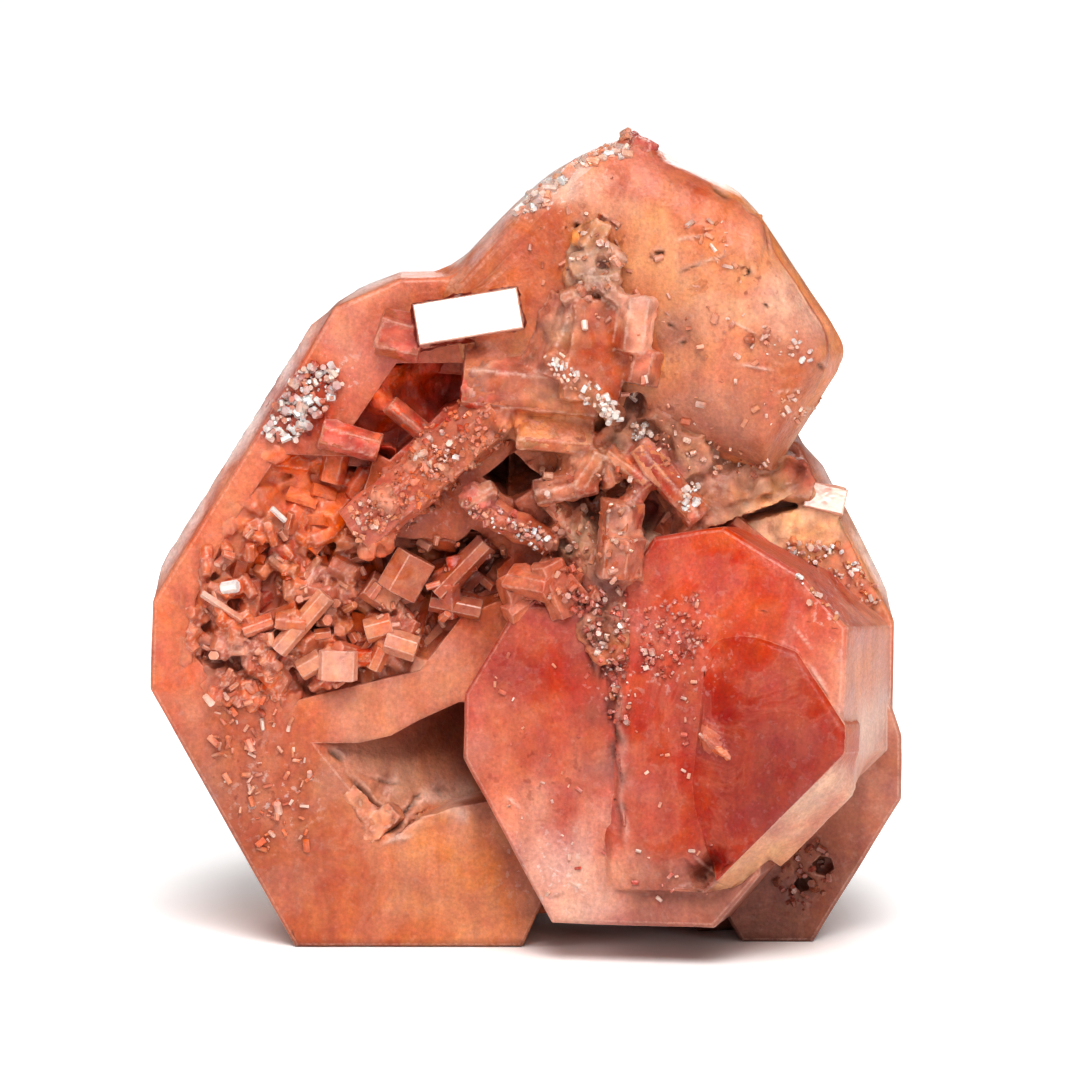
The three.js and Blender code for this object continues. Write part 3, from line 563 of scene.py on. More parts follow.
    "wanderAndPaintedLight": {  # how far the colours wander, and how strong the painted shade and painted highlights are: shade at the foot and in the cracks, highlights on the leaning sides, the lower bevel and the crack lips
        "wander": 0.55, "footShade": 0.7, "footShadeHeight": 0.28, "flareHighlight": 0.85,
        "bevelLightDim": 0.76, "bevelHighlight": 0.9, "paleFrom": 3.0, "paleOver": 5.0,
        "crackShade": 0.82, "crackHighlight": 0.6,
    },
}


# Which points lie in a plate, and how deep under its face they are.
def insidePlate(points, plate, slack=0.04):
    local = np.array(placement(plate["at"], plate["turn"], plate["lift"]).inverted())
    inPlane = points @ local[:3, :3].T + local[:3, 3]
    inside = (inPlane[:, 2] < slack) & (inPlane[:, 2] > -plate["thick"] - slack)
    for angle, distance in plate["faces"]:
        across = inPlane[:, 0] * math.cos(math.radians(angle)) + inPlane[:, 1] * math.sin(math.radians(angle))
        inside &= across < distance + slack
    return inside, inPlane[:, 2]


# The plate that each face belongs to, -1 for the porous middle.
def ownersOf(middles, normals):
    owner = np.full(len(middles), -1)
    for level in ("face", "body"):
        for index, plate in enumerate(clusterBody["plates"].values()):
            inside, depth = insidePlate(middles, plate)
            if level == "face":
                axis = np.array(placement(plate["at"], plate["turn"], plate["lift"]))[:3, 2]
                inside &= (depth > -0.06) & (normals @ axis > 0.995)
            owner[(owner < 0) & inside] = index
    return owner


# Splits edges until none is longer than the length wanted there.
def refine(bm, longest, passes=12):
    waiting = list(bm.edges)
    for _ in range(passes):
        tooLong = [e for e in waiting if e.calc_length() > longest((e.verts[0].co + e.verts[1].co) / 2)]
        if not tooLong:
            break
        split = bmesh.ops.subdivide_edges(bm, edges=tooLong, cuts=1)
        cut = bmesh.ops.triangulate(bm, faces=[f for f in bm.faces if len(f.verts) > 3])
        parts = dict.fromkeys(split["geom_split"] + split["geom_inner"] + cut["edges"])
        waiting = [part for part in parts if isinstance(part, bmesh.types.BMEdge)]


# Narrow worn rims along the outward edges; their faces are marked so that the material paints a pale
# highlight on them.
def bevelEdges(bm, width, sharper=18):
    rim = bm.faces.layers.int.get("rim") or bm.faces.layers.int.new("rim")
    limit = math.radians(sharper)
    edges = [e for e in bm.edges if e.is_manifold and e.calc_face_angle(0) > limit and e.is_convex]
    made = bmesh.ops.bevel(bm, geom=edges, offset=width, offset_type="OFFSET", segments=1, profile=0.5,
                           affect="EDGES", clamp_overlap=False)
    for face in made["faces"]:
        face[rim] = 1


def vertexArray(mesh):
    verts = np.zeros(len(mesh.vertices) * 3)
    mesh.vertices.foreach_get("co", verts)
    return verts.reshape(-1, 3) / mm


def normalArray(mesh):
    normals = np.zeros(len(mesh.vertices) * 3)
    mesh.vertices.foreach_get("normal", normals)
    return normals.reshape(-1, 3)


def cornerArray(mesh):
    corner = np.zeros(len(mesh.loops), dtype=np.int32)
    mesh.loops.foreach_get("vertex_index", corner)
    return corner


def moveVertices(mesh, verts):
    mesh.vertices.foreach_set("co", (verts * mm).ravel())
    mesh.update()


# Each wave is the size, strength and offset of one noise.
def noiseField(verts, *waves):
    total = np.zeros(len(verts))
    for scale, strength, offset in waves:
        total += strength * np.array([noise.noise(p * scale + offset) for p in map(Vector, verts)])
    return total


# Colours, material, sharp edges and place of one piece.
def finishPiece(name, mesh, material, tint, dustAndGlints=None, grit=None, slot="crystal_body", smooth=32):
    layer = mesh.attributes.new("tint", "FLOAT_COLOR", "CORNER")
    colours = np.hstack([tint, np.ones((len(tint), 1))]).astype(np.float32)
    layer.data.foreach_set("color", colours.ravel())
    for key, values in (("dustAndGlints", dustAndGlints), ("grit", grit)):
        if values is not None:
            mesh.attributes.new(key, "FLOAT", "POINT").data.foreach_set("value", values.astype(np.float32))
    mesh.materials.append(material)
    mesh.shade_smooth()
    mesh.set_sharp_from_angle(angle=math.radians(smooth))
    piece = bpy.data.objects.new(name, mesh)
    bpy.context.scene.collection.objects.link(piece)
    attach(piece, "root")
    triangles = sum(len(face.vertices) - 2 for face in mesh.polygons)
    print(name + ":", triangles, "triangles")
    return piece


def insideOutline(x, z, corners):
    inside = False
    for (ax, az), (bx, bz) in zip(corners, corners[1:] + corners[:1]):
        if (az > z) != (bz > z) and x < ax + (z - az) / (bz - az) * (bx - ax):
            inside = not inside
    return inside


# How far a point is from an outline.
def outlineGap(x, z, corners):
    nearest = 99.0
    for (ax, az), (bx, bz) in zip(corners, corners[1:] + corners[:1]):
        along = ((x - ax) * (bx - ax) + (z - az) * (bz - az)) / ((bx - ax) ** 2 + (bz - az) ** 2)
        along = min(1, max(0, along))
        nearest = min(nearest, math.hypot(ax + (bx - ax) * along - x, az + (bz - az) * along - z))
    return nearest


gridSide, gridTop, gridStep = 12, 26, 0.1  # grid of the front, from -gridSide to gridSide
nowhere = 9.0  # depth of the grid where there is no plate


# The y of the foremost plate over a grid of x and z.
def frontGrid():
    sideways, upwards = np.arange(-gridSide, gridSide, gridStep), np.arange(0, gridTop, gridStep)
    across, up = np.meshgrid(sideways, upwards, indexing="ij")
    depth = np.full(across.shape, nowhere)
    for plate in clusterBody["plates"].values():
        matrix = np.array(placement(plate["at"], plate["turn"], plate["lift"]))
        axis, at = matrix[:3, 2], matrix[:3, 3]
        if axis[1] > 0:
            continue
        y = at[1] - (axis[0] * (across - at[0]) + axis[2] * (up - at[2])) / axis[1]
        points = np.stack([across, y, up], axis=-1).reshape(-1, 3)
        inside, _ = insidePlate(points, plate, 0.0)
        depth = np.where(inside.reshape(across.shape) & (y < depth), y, depth)
    places = zip(across.ravel(), up.ravel())
    hollow = clusterBody["hollow"]
    inHollow = np.array([insideOutline(x, z, hollow["outline"]) for x, z in places]).reshape(across.shape)
    return np.where(inHollow & (np.abs(depth - hollow["level"]) < 0.01), hollow["floor"], depth)


def blurDepth(depth, rounds):
    known = depth < nowhere
    soft = np.where(known, depth, 0.0)
    for _ in range(rounds):
        total, count = soft.copy(), known.astype(float)
        for axis in (0, 1):
            for turn in (1, -1):
                total += np.roll(soft, turn, axis)
                count += np.roll(known, turn, axis)
        soft = np.where(known, total / np.maximum(count, 1), 0.0)
    return np.where(known, soft, nowhere)


def sampleGrid(grid, verts):
    i = np.clip((verts[:, 0] + gridSide) / gridStep, 0, grid.shape[0] - 2)
    j = np.clip(verts[:, 2] / gridStep, 0, grid.shape[1] - 2)
    a, b = i.astype(int), j.astype(int)
    u, v = i - a, j - b
    corners = [grid[a, b], grid[a + 1, b], grid[a, b + 1], grid[a + 1, b + 1]]
    shares = [(1 - u) * (1 - v), u * (1 - v), (1 - u) * v, u * v]
    known = [(corner < nowhere) * share for corner, share in zip(corners, shares)]
    total = sum(known)
    value = sum(corner * share for corner, share in zip(corners, known)) / np.maximum(total, 1e-6)
    return value, total > 0.01


# Steps between the plates turned to gentle slopes, in the soft places.
def softenFront(verts):
    front = frontGrid()
    eased = np.zeros(len(verts))
    for x, z, across, up, rounds, behind in clusterBody["soft"]:
        soft, known = sampleGrid(blurDepth(front, rounds), verts)
        crisp, _ = sampleGrid(front, verts)
        far = np.sqrt(((verts[:, 0] - x) / across) ** 2 + ((verts[:, 2] - z) / up) ** 2)
        share = np.clip((1 - far) * 5, 0, 1) * known * (verts[:, 1] < np.minimum(crisp, soft) + behind)
        share *= verts[:, 1] > crisp - 0.35
        verts[:, 1] += (soft - verts[:, 1]) * share
        eased = np.maximum(eased, share)
    return verts, eased


# The upper plate's face falls off towards its rims.
def roundUpperPlate(verts):
    dome = clusterBody["dome"]
    plate, face = (clusterBody["plates"][dome[key]] for key in ("plate", "face"))
    matrix = np.array(placement(face["at"], face["turn"], face["lift"]))
    axis, at = matrix[:3, 2], matrix[:3, 3]
    level = at[1] - (axis[0] * (verts[:, 0] - at[0]) + axis[2] * (verts[:, 2] - at[2])) / axis[1]
    across, up = verts[:, 0] - plate["at"][0], verts[:, 2] - plate["at"][2]
    fall = np.zeros(len(verts))
    inside = np.ones(len(verts))
    for side, distance in plate["faces"]:
        gap = distance - across * math.cos(math.radians(side)) - up * math.sin(math.radians(side))
        inside *= gap > -0.05
        fall = np.maximum(fall, np.clip(1 - gap / dome["slopes"].get(side, 0.1), 0, 1))
    target = level + (dome["rim"] - level) * fall ** 2
    share = inside * np.clip((dome["behind"] - verts[:, 1]) * 5, 0, 1)
    share *= np.clip((verts[:, 2] - dome["above"]) * 2, 0, 1)
    share *= np.clip(across + dome["left"], 0, 1)
    verts[:, 1] += (target - verts[:, 1]) * share
    return verts, share


def easeMesh(verts, edges, share, rounds):
    count = np.maximum(np.bincount(edges.ravel(), minlength=len(verts)), 1)
    for _ in range(rounds):
        mean = np.empty_like(verts)
        for axis in range(3):
            total = np.bincount(edges[:, 0], weights=verts[edges[:, 1], axis], minlength=len(verts))
            total += np.bincount(edges[:, 1], weights=verts[edges[:, 0], axis], minlength=len(verts))
            mean[:, axis] = total / count
        verts = verts + (mean - verts) * share[:, None] * 0.5
    return verts


def edgeArray(mesh):
    edges = np.zeros(len(mesh.edges) * 2, dtype=np.int32)
    mesh.edges.foreach_get("vertices", edges)
    return edges.reshape(-1, 2)


# Some sides of the plates lean out to the front and catch the light. The mark pale sets them up for a painted
# highlight, and the mark warm sets up the lower bevel for painted light.
def flareSides(verts):
    pale, warm = np.zeros(len(verts)), np.zeros(len(verts))
    moved = verts.copy()
    for name, side, near, far, widest, most in clusterBody["flares"]:
        plate = clusterBody["plates"][name]
        turned = placement(plate["at"], plate["turn"], plate["lift"])
        back = np.array(turned.inverted())
        local = verts @ back[:3, :3].T + back[:3, 3]
        gaps = {}
        for angle, distance in plate["faces"]:
            around = math.radians(angle)
            gaps[angle] = distance - local[:, 0] * math.cos(around) - local[:, 1] * math.sin(around)
        inside = np.all([gap > -0.1 for gap in gaps.values()], axis=0) & (np.abs(gaps[side]) < 0.1)
        along = np.clip((-local[:, 2] - near) / (far - near), 0, 1)
        room = np.min([gap for angle, gap in gaps.items() if angle != side], axis=0)
        out = np.minimum(1, along / widest) * np.minimum(1, (1 - along) / (1 - widest))
        out *= inside * np.clip(room / 0.5, 0, 1)
        around = math.radians(side)
        outward = turned.to_3x3() @ Vector((math.cos(around), math.sin(around), 0))
        moved += np.outer(out * most, outward)
        if side > 0:
            pale = np.maximum(pale, out)
        else:
            warm = np.maximum(warm, inside * np.clip(room / 0.3, 0, 1) * (along < widest * 1.4))
    return moved, pale, warm


# How much of a crack's groove and of its lip each point has.
def crackShares(verts, crack):
    x, z, long, wide, turn, _ = crack
    dx, dz = verts[:, 0] - x, verts[:, 2] - z
    c, s = math.cos(math.radians(turn)), math.sin(math.radians(turn))
    wander = 0.6 * wide * np.sin(4.1 * dx + 5.3 * dz)
    along, across = (dx * c + dz * s) / long, (dz * c - dx * s + wander) / wide
    ends = np.exp(-along ** 4)
    return ends * np.exp(-across ** 2), ends * np.exp(-(across - 1.9) ** 2)


# The squares of the front where cracks want a finer mesh.
def crackCells(cell):
    cells = set()
    for x, z, long, _, turn, _ in clusterBody["cracks"]:
        c, s = math.cos(math.radians(turn)), math.sin(math.radians(turn))
        for step in np.arange(-long * 1.1, long * 1.1 + cell, cell / 2):
            column, row = round((x + step * c) / cell), round((z + step * s) / cell)
            cells.update((column + i, row + j) for i in (-1, 0, 1) for j in (-1, 0, 1))
    return cells


# The solid of the frame with worn rims, cut fine enough to shape and paint.
def cutMesh(shape):
    bm = bmesh.new()
    bm.from_mesh(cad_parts["crystal_cluster"].data)
    bmesh.ops.scale(bm, vec=(1 / mm,) * 3, verts=bm.verts)
    bmesh.ops.remove_doubles(bm, verts=bm.verts, dist=shape["join"])
    bmesh.ops.dissolve_limit(bm, angle_limit=math.radians(shape["flat"]), verts=bm.verts, edges=bm.edges)
    bevelEdges(bm, shape["edge"])
    bmesh.ops.triangulate(bm, faces=bm.faces)
    cell = shape["cell"]
    cells = crackCells(cell)

    def longest(p):
        if p.y > shape["frontTo"]:
            return shape["sides"] if p.y < shape["sidesTo"] else shape["back"]
        return shape["fine"] if (round(p.x / cell), round(p.z / cell)) in cells else shape["front"]

    refine(bm, longest)
    rim = bm.faces.layers.int["rim"]
    rims = np.array([face[rim] for face in bm.faces], dtype=float)
    bm.faces.layers.int.remove(rim)
    middle = np.array([face.calc_center_median() for face in bm.faces])
    bm.normal_update()
    facing = np.array([face.normal for face in bm.faces])
    mesh = bpy.data.meshes.new("clusterBody")
    bmesh.ops.scale(bm, vec=(mm,) * 3, verts=bm.verts)
    bm.to_mesh(mesh)
    bm.free()
    return mesh, rims, middle, facing


def wearUpperPlate(verts, edges):
    worn = clusterBody["worn"]
    far = ((verts[:, 0] - worn["x"]) / worn["across"]) ** 2 + ((verts[:, 2] - worn["z"]) / worn["up"]) ** 2
    share = np.clip((1 - far) * 4, 0, 1) * np.clip(worn["behind"] - verts[:, 1], 0, 1)
    return easeMesh(verts, edges, share, worn["rounds"])


def formHeights(verts, normals):
    push = np.zeros(len(verts))
    for x, z, across, up, turn, height, nearest, furthest in clusterBody["forms"]:
        dx, dz = verts[:, 0] - x, verts[:, 2] - z
        c, s = math.cos(math.radians(turn)), math.sin(math.radians(turn))
        far = ((dx * c + dz * s) / across) ** 2 + ((dz * c - dx * s) / up) ** 2
        forward = (normals[:, 1] < -0.4) & (verts[:, 1] > nearest) & (verts[:, 1] < furthest)
        push += height * np.exp(-far * far) * forward
    return push


# Grooves and ridges of the cracks, with where they get painted shade (dark) and a painted highlight (lip).
def crackHeights(verts, normals):
    push, dark, lip = (np.zeros(len(verts)) for _ in range(3))
    front = (normals[:, 1] < -0.3) & (verts[:, 1] < 1.2)
    for crack in clusterBody["cracks"]:
        groove, edge = crackShares(verts, crack)
        depth = crack[5]
        push -= depth * groove * front
        if depth > 0:
            dark = np.maximum(dark, groove * front * min(1, depth * 7))
            lip = np.maximum(lip, edge * front * 0.5)
            push += 0.2 * depth * edge * front
        else:
            lip = np.maximum(lip, groove * front)
    return push, dark, lip


def lumpHeights(verts, eased):
    here = Vector((0, 0, 0))
    swell = noiseField(verts, (0.45, 0.6, here), (1.3, 0.3, Vector((7, 3, 1))))
    swell += eased * noiseField(verts, (0.9, 1.6, Vector((1, 9, 4))))
    rough = np.zeros(len(verts))
    for x, z, reach, height in clusterBody["rough"]:
        near = np.exp(-(((verts[:, 0] - x) ** 2 + (verts[:, 2] - z) ** 2) / reach ** 2) ** 2) * height
        rough = np.maximum(rough, near * (verts[:, 1] < 0.5) * (verts[:, 1] > -4.4))
    return swell * clusterBody["mesh"]["wave"] + rough * noiseField(verts, (1.7, 1.0, here), (3.9, 0.6, here))


def buildBody():
    mesh, rims, middle, facing = cutMesh(clusterBody["mesh"])
    verts, pale, warm = flareSides(vertexArray(mesh))
    verts, eased = softenFront(verts)
    verts, rounded = roundUpperPlate(verts)
    edges = edgeArray(mesh)
    verts = easeMesh(verts, edges, eased * 0.9, clusterBody["mesh"]["easing"])
    eased = np.maximum(eased, rounded)
    verts = wearUpperPlate(verts, edges)
    moveVertices(mesh, verts)
    normals = normalArray(mesh)
    push, dark, lip = crackHeights(verts, normals)
    push += formHeights(verts, normals) + lumpHeights(verts, eased)
    moveVertices(mesh, verts + normals * push[:, None])
    hard = np.array([1 - eased[list(face.vertices)].mean() for face in mesh.polygons])
    mesh.attributes.new("rim", "FLOAT", "FACE").data.foreach_set("value", (rims * hard).astype(np.float32))
    return mesh, middle, facing, {"pale": pale, "warm": warm, "dark": dark, "lip": lip}


def blendIn(tint, colour, share):
    return tint + (colour - tint) * share[:, None]


def paintBody(mesh, middle, facing, marks):
    wanderAndPaintedLight = clusterBody["wanderAndPaintedLight"]
    verts = vertexArray(mesh)
    corner = cornerArray(mesh)
    owner = ownersOf(middle, facing)
    sides = np.zeros(len(mesh.polygons), dtype=np.int32)
    mesh.polygons.foreach_get("loop_total", sides)
    cornerOwner = np.repeat(owner, sides)
    sideways = np.repeat(np.abs(facing[:, 1]), sides)
    warp = [noise.noise_vector(p * 0.6) + 0.4 * noise.noise_vector(p * 2.1) for p in map(Vector, verts)]
    points = (verts + np.array(warp) * wanderAndPaintedLight["wander"])[corner]
    tint = paintTints(points, clusterBody["between"])
    for index, plate in enumerate(clusterBody["plates"].values()):
        mine = cornerOwner == index
        tint[mine] = paintTints(points[mine], plate)
    # Painted shade: the lowest part darkens towards the floor as a contact shadow.
    footShadeColour = linearColour("umber") * wanderAndPaintedLight["footShade"]
    tint = footShadeColour + (tint - footShadeColour) * np.clip(verts[corner, 2] / wanderAndPaintedLight["footShadeHeight"], 0, 1)[:, None] ** 0.6

    here = Vector((0, 0, 0))
    patchy = noiseField(verts, (0.8, 1.0, here), (2.6, 0.5, here))
    # Painted highlight: the sides that lean forward are bleached towards white, as light and the white room
    # would show on them.
    side = (marks["pale"] ** 0.5 * np.clip(0.75 + patchy, 0, 1))[corner] * (sideways < 0.5)
    tint = blendIn(tint, linearColour("snow") * (1.25, 1.12, 1.1), side * wanderAndPaintedLight["flareHighlight"])
    # Painted light on the lower bevel of the front crystal: sunlit lower down, cream higher up.
    bevel = (marks["warm"] * np.clip(0.8 + 0.5 * patchy, 0.35, 1))[corner] * (sideways < 0.6)
    high = np.clip((verts[corner, 2] - wanderAndPaintedLight["paleFrom"]) / wanderAndPaintedLight["paleOver"], 0, 1)[:, None]
    bright = linearColour("sunlit") * wanderAndPaintedLight["bevelLightDim"] * (1 - high) + linearColour("cream") * high
    tint = blendIn(tint, bright, bevel * wanderAndPaintedLight["bevelHighlight"])
    # Painted shade in the crack grooves and a painted highlight on their lips and ridges.
    tint *= 1 - wanderAndPaintedLight["crackShade"] * marks["dark"][corner][:, None]
    tint = blendIn(tint, linearColour("cream"), wanderAndPaintedLight["crackHighlight"] * marks["lip"][corner])

    plain = [plate.get("plainRims", False) for plate in clusterBody["plates"].values()] + [False]
    rims = np.zeros(len(mesh.polygons))
    mesh.attributes["rim"].data.foreach_get("value", rims)
    rims *= ~np.array(plain)[owner]
    mesh.attributes["rim"].data.foreach_set("value", rims.astype(np.float32))
    front = (verts[:, 1] < 1).astype(float)
    dustAndGlints = paintAmount(verts, clusterBody["dustAndGlints"]) * front
    grit = paintAmount(verts, clusterBody["grit"]) * front
    return tint, dustAndGlints, grit


bodyMesh, *bodyFaces = buildBody()
plateStone = stoneMaterial("waxyPlates", clusterBody["look"])
body = finishPiece("clusterBody", bodyMesh, plateStone, *paintBody(bodyMesh, *bodyFaces))
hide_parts("crystal_cluster")
print("body done")


def newPile():
    return {"verts": [], "faces": [], "tints": [], "rims": []}


# A six-sided outline as wide and deep as wanted, its corners cut if there is a chamfer.
def hexCorners(wide, deep, chamfer):
    side = wide / 2 * math.cos(math.radians(30))
    shoulder = max(0.05 * wide, (side - deep / 4) / math.sin(math.radians(60)))
    corners = [(deep / 2, -shoulder), (deep / 2, shoulder), (0, wide / 2), (-deep / 2, shoulder),
               (-deep / 2, -shoulder), (0, -wide / 2)]
    if not chamfer:
        return corners
    cut = []
    for index, corner in enumerate(corners):
        for other in (corners[index - 1], corners[(index + 1) % 6]):
            share = min(0.4, chamfer / math.dist(corner, other))
            cut.append([corner[axis] + (other[axis] - corner[axis]) * share for axis in (0, 1)])
    return cut


# A prism along its own z, ends and corners cut if there is a chamfer.
def addCrystal(pile, matrix, size, near, far, chamfer=0.0, taper=1.0):
    long, wide, deep = size
    outline = hexCorners(wide, deep, chamfer)
    sides = len(outline)
    rings = [(-0.5, 1.0), (0.5, taper)]
    if chamfer:
        end = min(0.3, chamfer / long)
        inner = 1 - 2 * chamfer / min(wide, deep)
        rings = [(-0.5, inner), (end - 0.5, 1.0), (0.5 - end, taper), (0.5, inner * taper)]
    base = len(pile["verts"])
    for height, scale in rings:
        for x, y in outline:
            pile["verts"].append(matrix @ Vector((x * scale, y * scale, height * long)))
            pile["tints"].append(near + (far - near) * (height + 0.5))
    for ring in range(len(rings) - 1):
        band = bool(chamfer) and ring != 1
        for side in range(sides):
            a, b = base + ring * sides + side, base + ring * sides + (side + 1) % sides
            pile["faces"].append((a, b, b + sides, a + sides))
            pile["rims"].append(float(band or (bool(chamfer) and side % 2 == 0)))
    last = base + (len(rings) - 1) * sides
    pile["faces"].append(tuple(base + side for side in reversed(range(sides))))
    pile["faces"].append(tuple(last + side for side in range(sides)))
    pile["rims"] += [0.0, 0.0]


def pileMesh(name, pile):
    mesh = bpy.data.meshes.new(name)
    mesh.from_pydata([v * mm for v in pile["verts"]], [], pile["faces"])
    rims = np.array(pile["rims"], dtype=np.float32)
    mesh.attributes.new("rim", "FLOAT", "FACE").data.foreach_set("value", rims)
    return mesh, np.array(pile["tints"])[cornerArray(mesh)]


# Everything that small crystals can rest on.
def groundTree(meshes, piles):
    verts, faces = [], []
    for mesh in meshes:
        start = len(verts)
        verts += [v.co / mm for v in mesh.vertices]
        faces += [tuple(i + start for i in face.vertices) for face in mesh.polygons]
    for pile in piles:
        start = len(verts)
        verts += pile["verts"]
        faces += [tuple(i + start for i in face) for face in pile["faces"]]
    return BVHTree.FromPolygons(verts, faces)


# One skin around a pile, with lumps, mottling and patches of colour.
def weldPile(name, pile, look):
    here = Vector((0, 0, 0))
    rough = bpy.data.meshes.new(name + "Rough")
    rough.from_pydata(pile["verts"], [], pile["faces"])
    holder = bpy.data.objects.new(name + "Rough", rough)
    bpy.context.scene.collection.objects.link(holder)
    weld = holder.modifiers.new("weld", "REMESH")
    weld.mode = "VOXEL"
    weld.voxel_size = look["grid"]
    mesh = bpy.data.meshes.new_from_object(holder.evaluated_get(bpy.context.evaluated_depsgraph_get()))
    mesh.name = name
    bpy.data.objects.remove(holder)
    bpy.data.meshes.remove(rough)
    verts = vertexArray(mesh) * mm  # the pile is in millimetres here
    verts = easeMesh(verts, edgeArray(mesh), np.ones(len(verts)), look["easing"])
    mesh.vertices.foreach_set("co", verts.ravel())
    mesh.update()
    lumps = noiseField(verts, (1.7, 0.6, here), (8.5, 0.22, here))
    lumps += 0.7 * np.abs(noiseField(verts, (3.9, 1.0, here))) - 0.15
    lumps *= 1 - paintAmount(verts, look["calm"])
    verts = verts + normalArray(mesh) * (lumps * look["lumps"])[:, None]
    tree = BVHTree.FromPolygons(pile["verts"], pile["faces"])
    tints = np.array([np.mean([pile["tints"][i] for i in face], axis=0) for face in pile["faces"]])
    rims = np.array(pile["rims"])
    nearest = np.array([tree.find_nearest(p)[2] for p in map(Vector, verts)])
    tint = tints[nearest]
    warp = np.array([noise.noise_vector(p * 1.6) for p in map(Vector, verts)]) * 0.25
    tint = paintTints(verts + warp, {"patches": look["paint"]}, tint)
    tint *= 1 + look["mottle"] * noiseField(verts, (2.8, 1.0, here))[:, None]
    moveVertices(mesh, verts)
    mesh.attributes.new("rim", "FLOAT", "POINT").data.foreach_set("value", rims[nearest].astype(np.float32))
    return mesh, tint[cornerArray(mesh)]


# Height and colour of the broken ground at x, z: small facets that tilt their own way.
def moundPoint(x, z, mound, levels):
    share = 1 / (((levels[:, 0] - x) ** 2 + (levels[:, 1] - z) ** 2) ** 1.5 + 0.02)
    y = (levels[:, 2] * share).sum() / share.sum()
    inner = min(1.0, outlineGap(x, z, mound["outline"]) / mound["edge"])
    if mound["rim"] is not None:
        y = mound["rim"] + (y - mound["rim"]) * inner
    spot = Vector((x, z, 0)) * mound["cells"] + Vector((5, 3, 2))
    spot += noise.noise_vector(spot * 0.8) * 0.35
    centre = noise.voronoi(spot)[1][0]
    tilt = noise.noise_vector(centre * 9.7)
    slope = tilt.x * (spot.x - centre.x) + tilt.y * (spot.y - centre.y)
    y -= inner * mound["relief"] * (noise.cell(centre * 13.1) - 0.5 + slope)
    tints = mound["tints"]
    colour = linearColour(tints[int(noise.cell(centre * 5.3) * 997) % len(tints)])
    return y, colour, colour * (0.9 + 0.2 * noise.cell(centre * 3.1))


# Broken ground inside an outline, closed at the back.
def addMound(pile, mound):
    step, outline, levels = mound["step"], mound["outline"], np.array(mound["levels"])
    lowX, lowZ = min(x for x, z in outline), min(z for x, z in outline)
    xs = np.arange(lowX, max(x for x, z in outline), step)
    zs = np.arange(lowZ, max(z for x, z in outline), step)
    cells = [(i, j) for i, x in enumerate(xs) for j, z in enumerate(zs)
             if insideOutline(x + step / 2, z + step / 2, outline)]
    made = {}

    def corner(i, j):
        if (i, j) not in made:
            x, z = xs[0] + i * step, zs[0] + j * step
            y, colour, mottled = moundPoint(x, z, mound, levels)
            made[i, j] = (len(pile["verts"]), len(pile["verts"]) + 1)
            pile["verts"] += [Vector((x, y, z)), Vector((x, mound["back"], z))]
            pile["tints"] += [mottled, colour]
        return made[i, j]

    have = set(cells)
    for i, j in cells:
        around = [corner(i + a, j + b) for a, b in ((0, 0), (1, 0), (1, 1), (0, 1))]
        pile["faces"].append(tuple(top for top, _ in around))
        pile["faces"].append(tuple(bottom for _, bottom in reversed(around)))
        pile["rims"] += [0.0, 0.0]
        for side, (a, b) in enumerate(((0, -1), (1, 0), (0, 1), (-1, 0))):
            if (i + a, j + b) not in have:
                first, second = around[side], around[(side + 1) % 4]
                pile["faces"].append((second[0], first[0], first[1], second[1]))
                pile["rims"].append(0.0)


def addSlab(pile, at, long, wide, thick, turn, lift, roll, colour, grow=0.05, edge=0.04):
    x, y = long / 2 + grow, wide / 2 + grow
    matrix = placement(at, turn, lift, roll)
    base = len(pile["verts"])
    for depth, inset in ((grow, edge), (grow - edge, 0), (-thick - grow, 0)):
        for a, b in ((-1, -1), (1, -1), (1, 1), (-1, 1)):
            pile["verts"].append(matrix @ Vector((a * (x - inset), b * (y - inset), depth)))
            pile["tints"].append(colour)
    for ring in (0, 4):
        for side in range(4):
            a, b = base + ring + side, base + ring + (side + 1) % 4
            pile["faces"].append((a, a + 4, b + 4, b))
            pile["rims"].append(1.0 if ring == 0 else 0.0)
    pile["faces"] += [tuple(base + i for i in range(4)), tuple(base + 8 + i for i in (3, 2, 1, 0))]
    pile["rims"] += [0.0, 0.0]


# A crystal with a lumpy skin.
def addRoughBar(pile, at, long, wide, deep, lift, roll, near, far, lumps, chamfer=0.1, edge=0.13):
    bare = newPile()
    near, far = linearColour(near), linearColour(far)
    addCrystal(bare, placement(at, 90, lift, roll), (long, wide, deep), near, far, chamfer)
    bm = bmesh.new()
    made = [bm.verts.new(v) for v in bare["verts"]]
    for face in bare["faces"]:
        bm.faces.new([made[i] for i in face])
    bmesh.ops.triangulate(bm, faces=bm.faces)
    refine(bm, lambda p: edge)
    bm.normal_update()
    axis = placement((0, 0, 0), 90, lift, roll).col[2].xyz
    base = len(pile["verts"])
    for v in bm.verts:
        lump = noise.noise(v.co * 1.3) * 0.7 + noise.noise(v.co * 2.6) * 0.5
        lump += abs(noise.noise(v.co * 5.0)) * 0.5 - 0.1
        along = min(1, max(0, (v.co - Vector(at)).dot(axis) / long + 0.5))
        tint = near + (far - near) * along
        pile["verts"].append(v.co + v.normal * lump * lumps)
        pile["tints"].append(tint * (1 + 0.35 * noise.noise(v.co * 3.1)))
    bm.verts.index_update()
    for face in bm.faces:
        pile["faces"].append(tuple(base + v.index for v in face.verts))
        pile["rims"].append(0.0)
    bm.free()


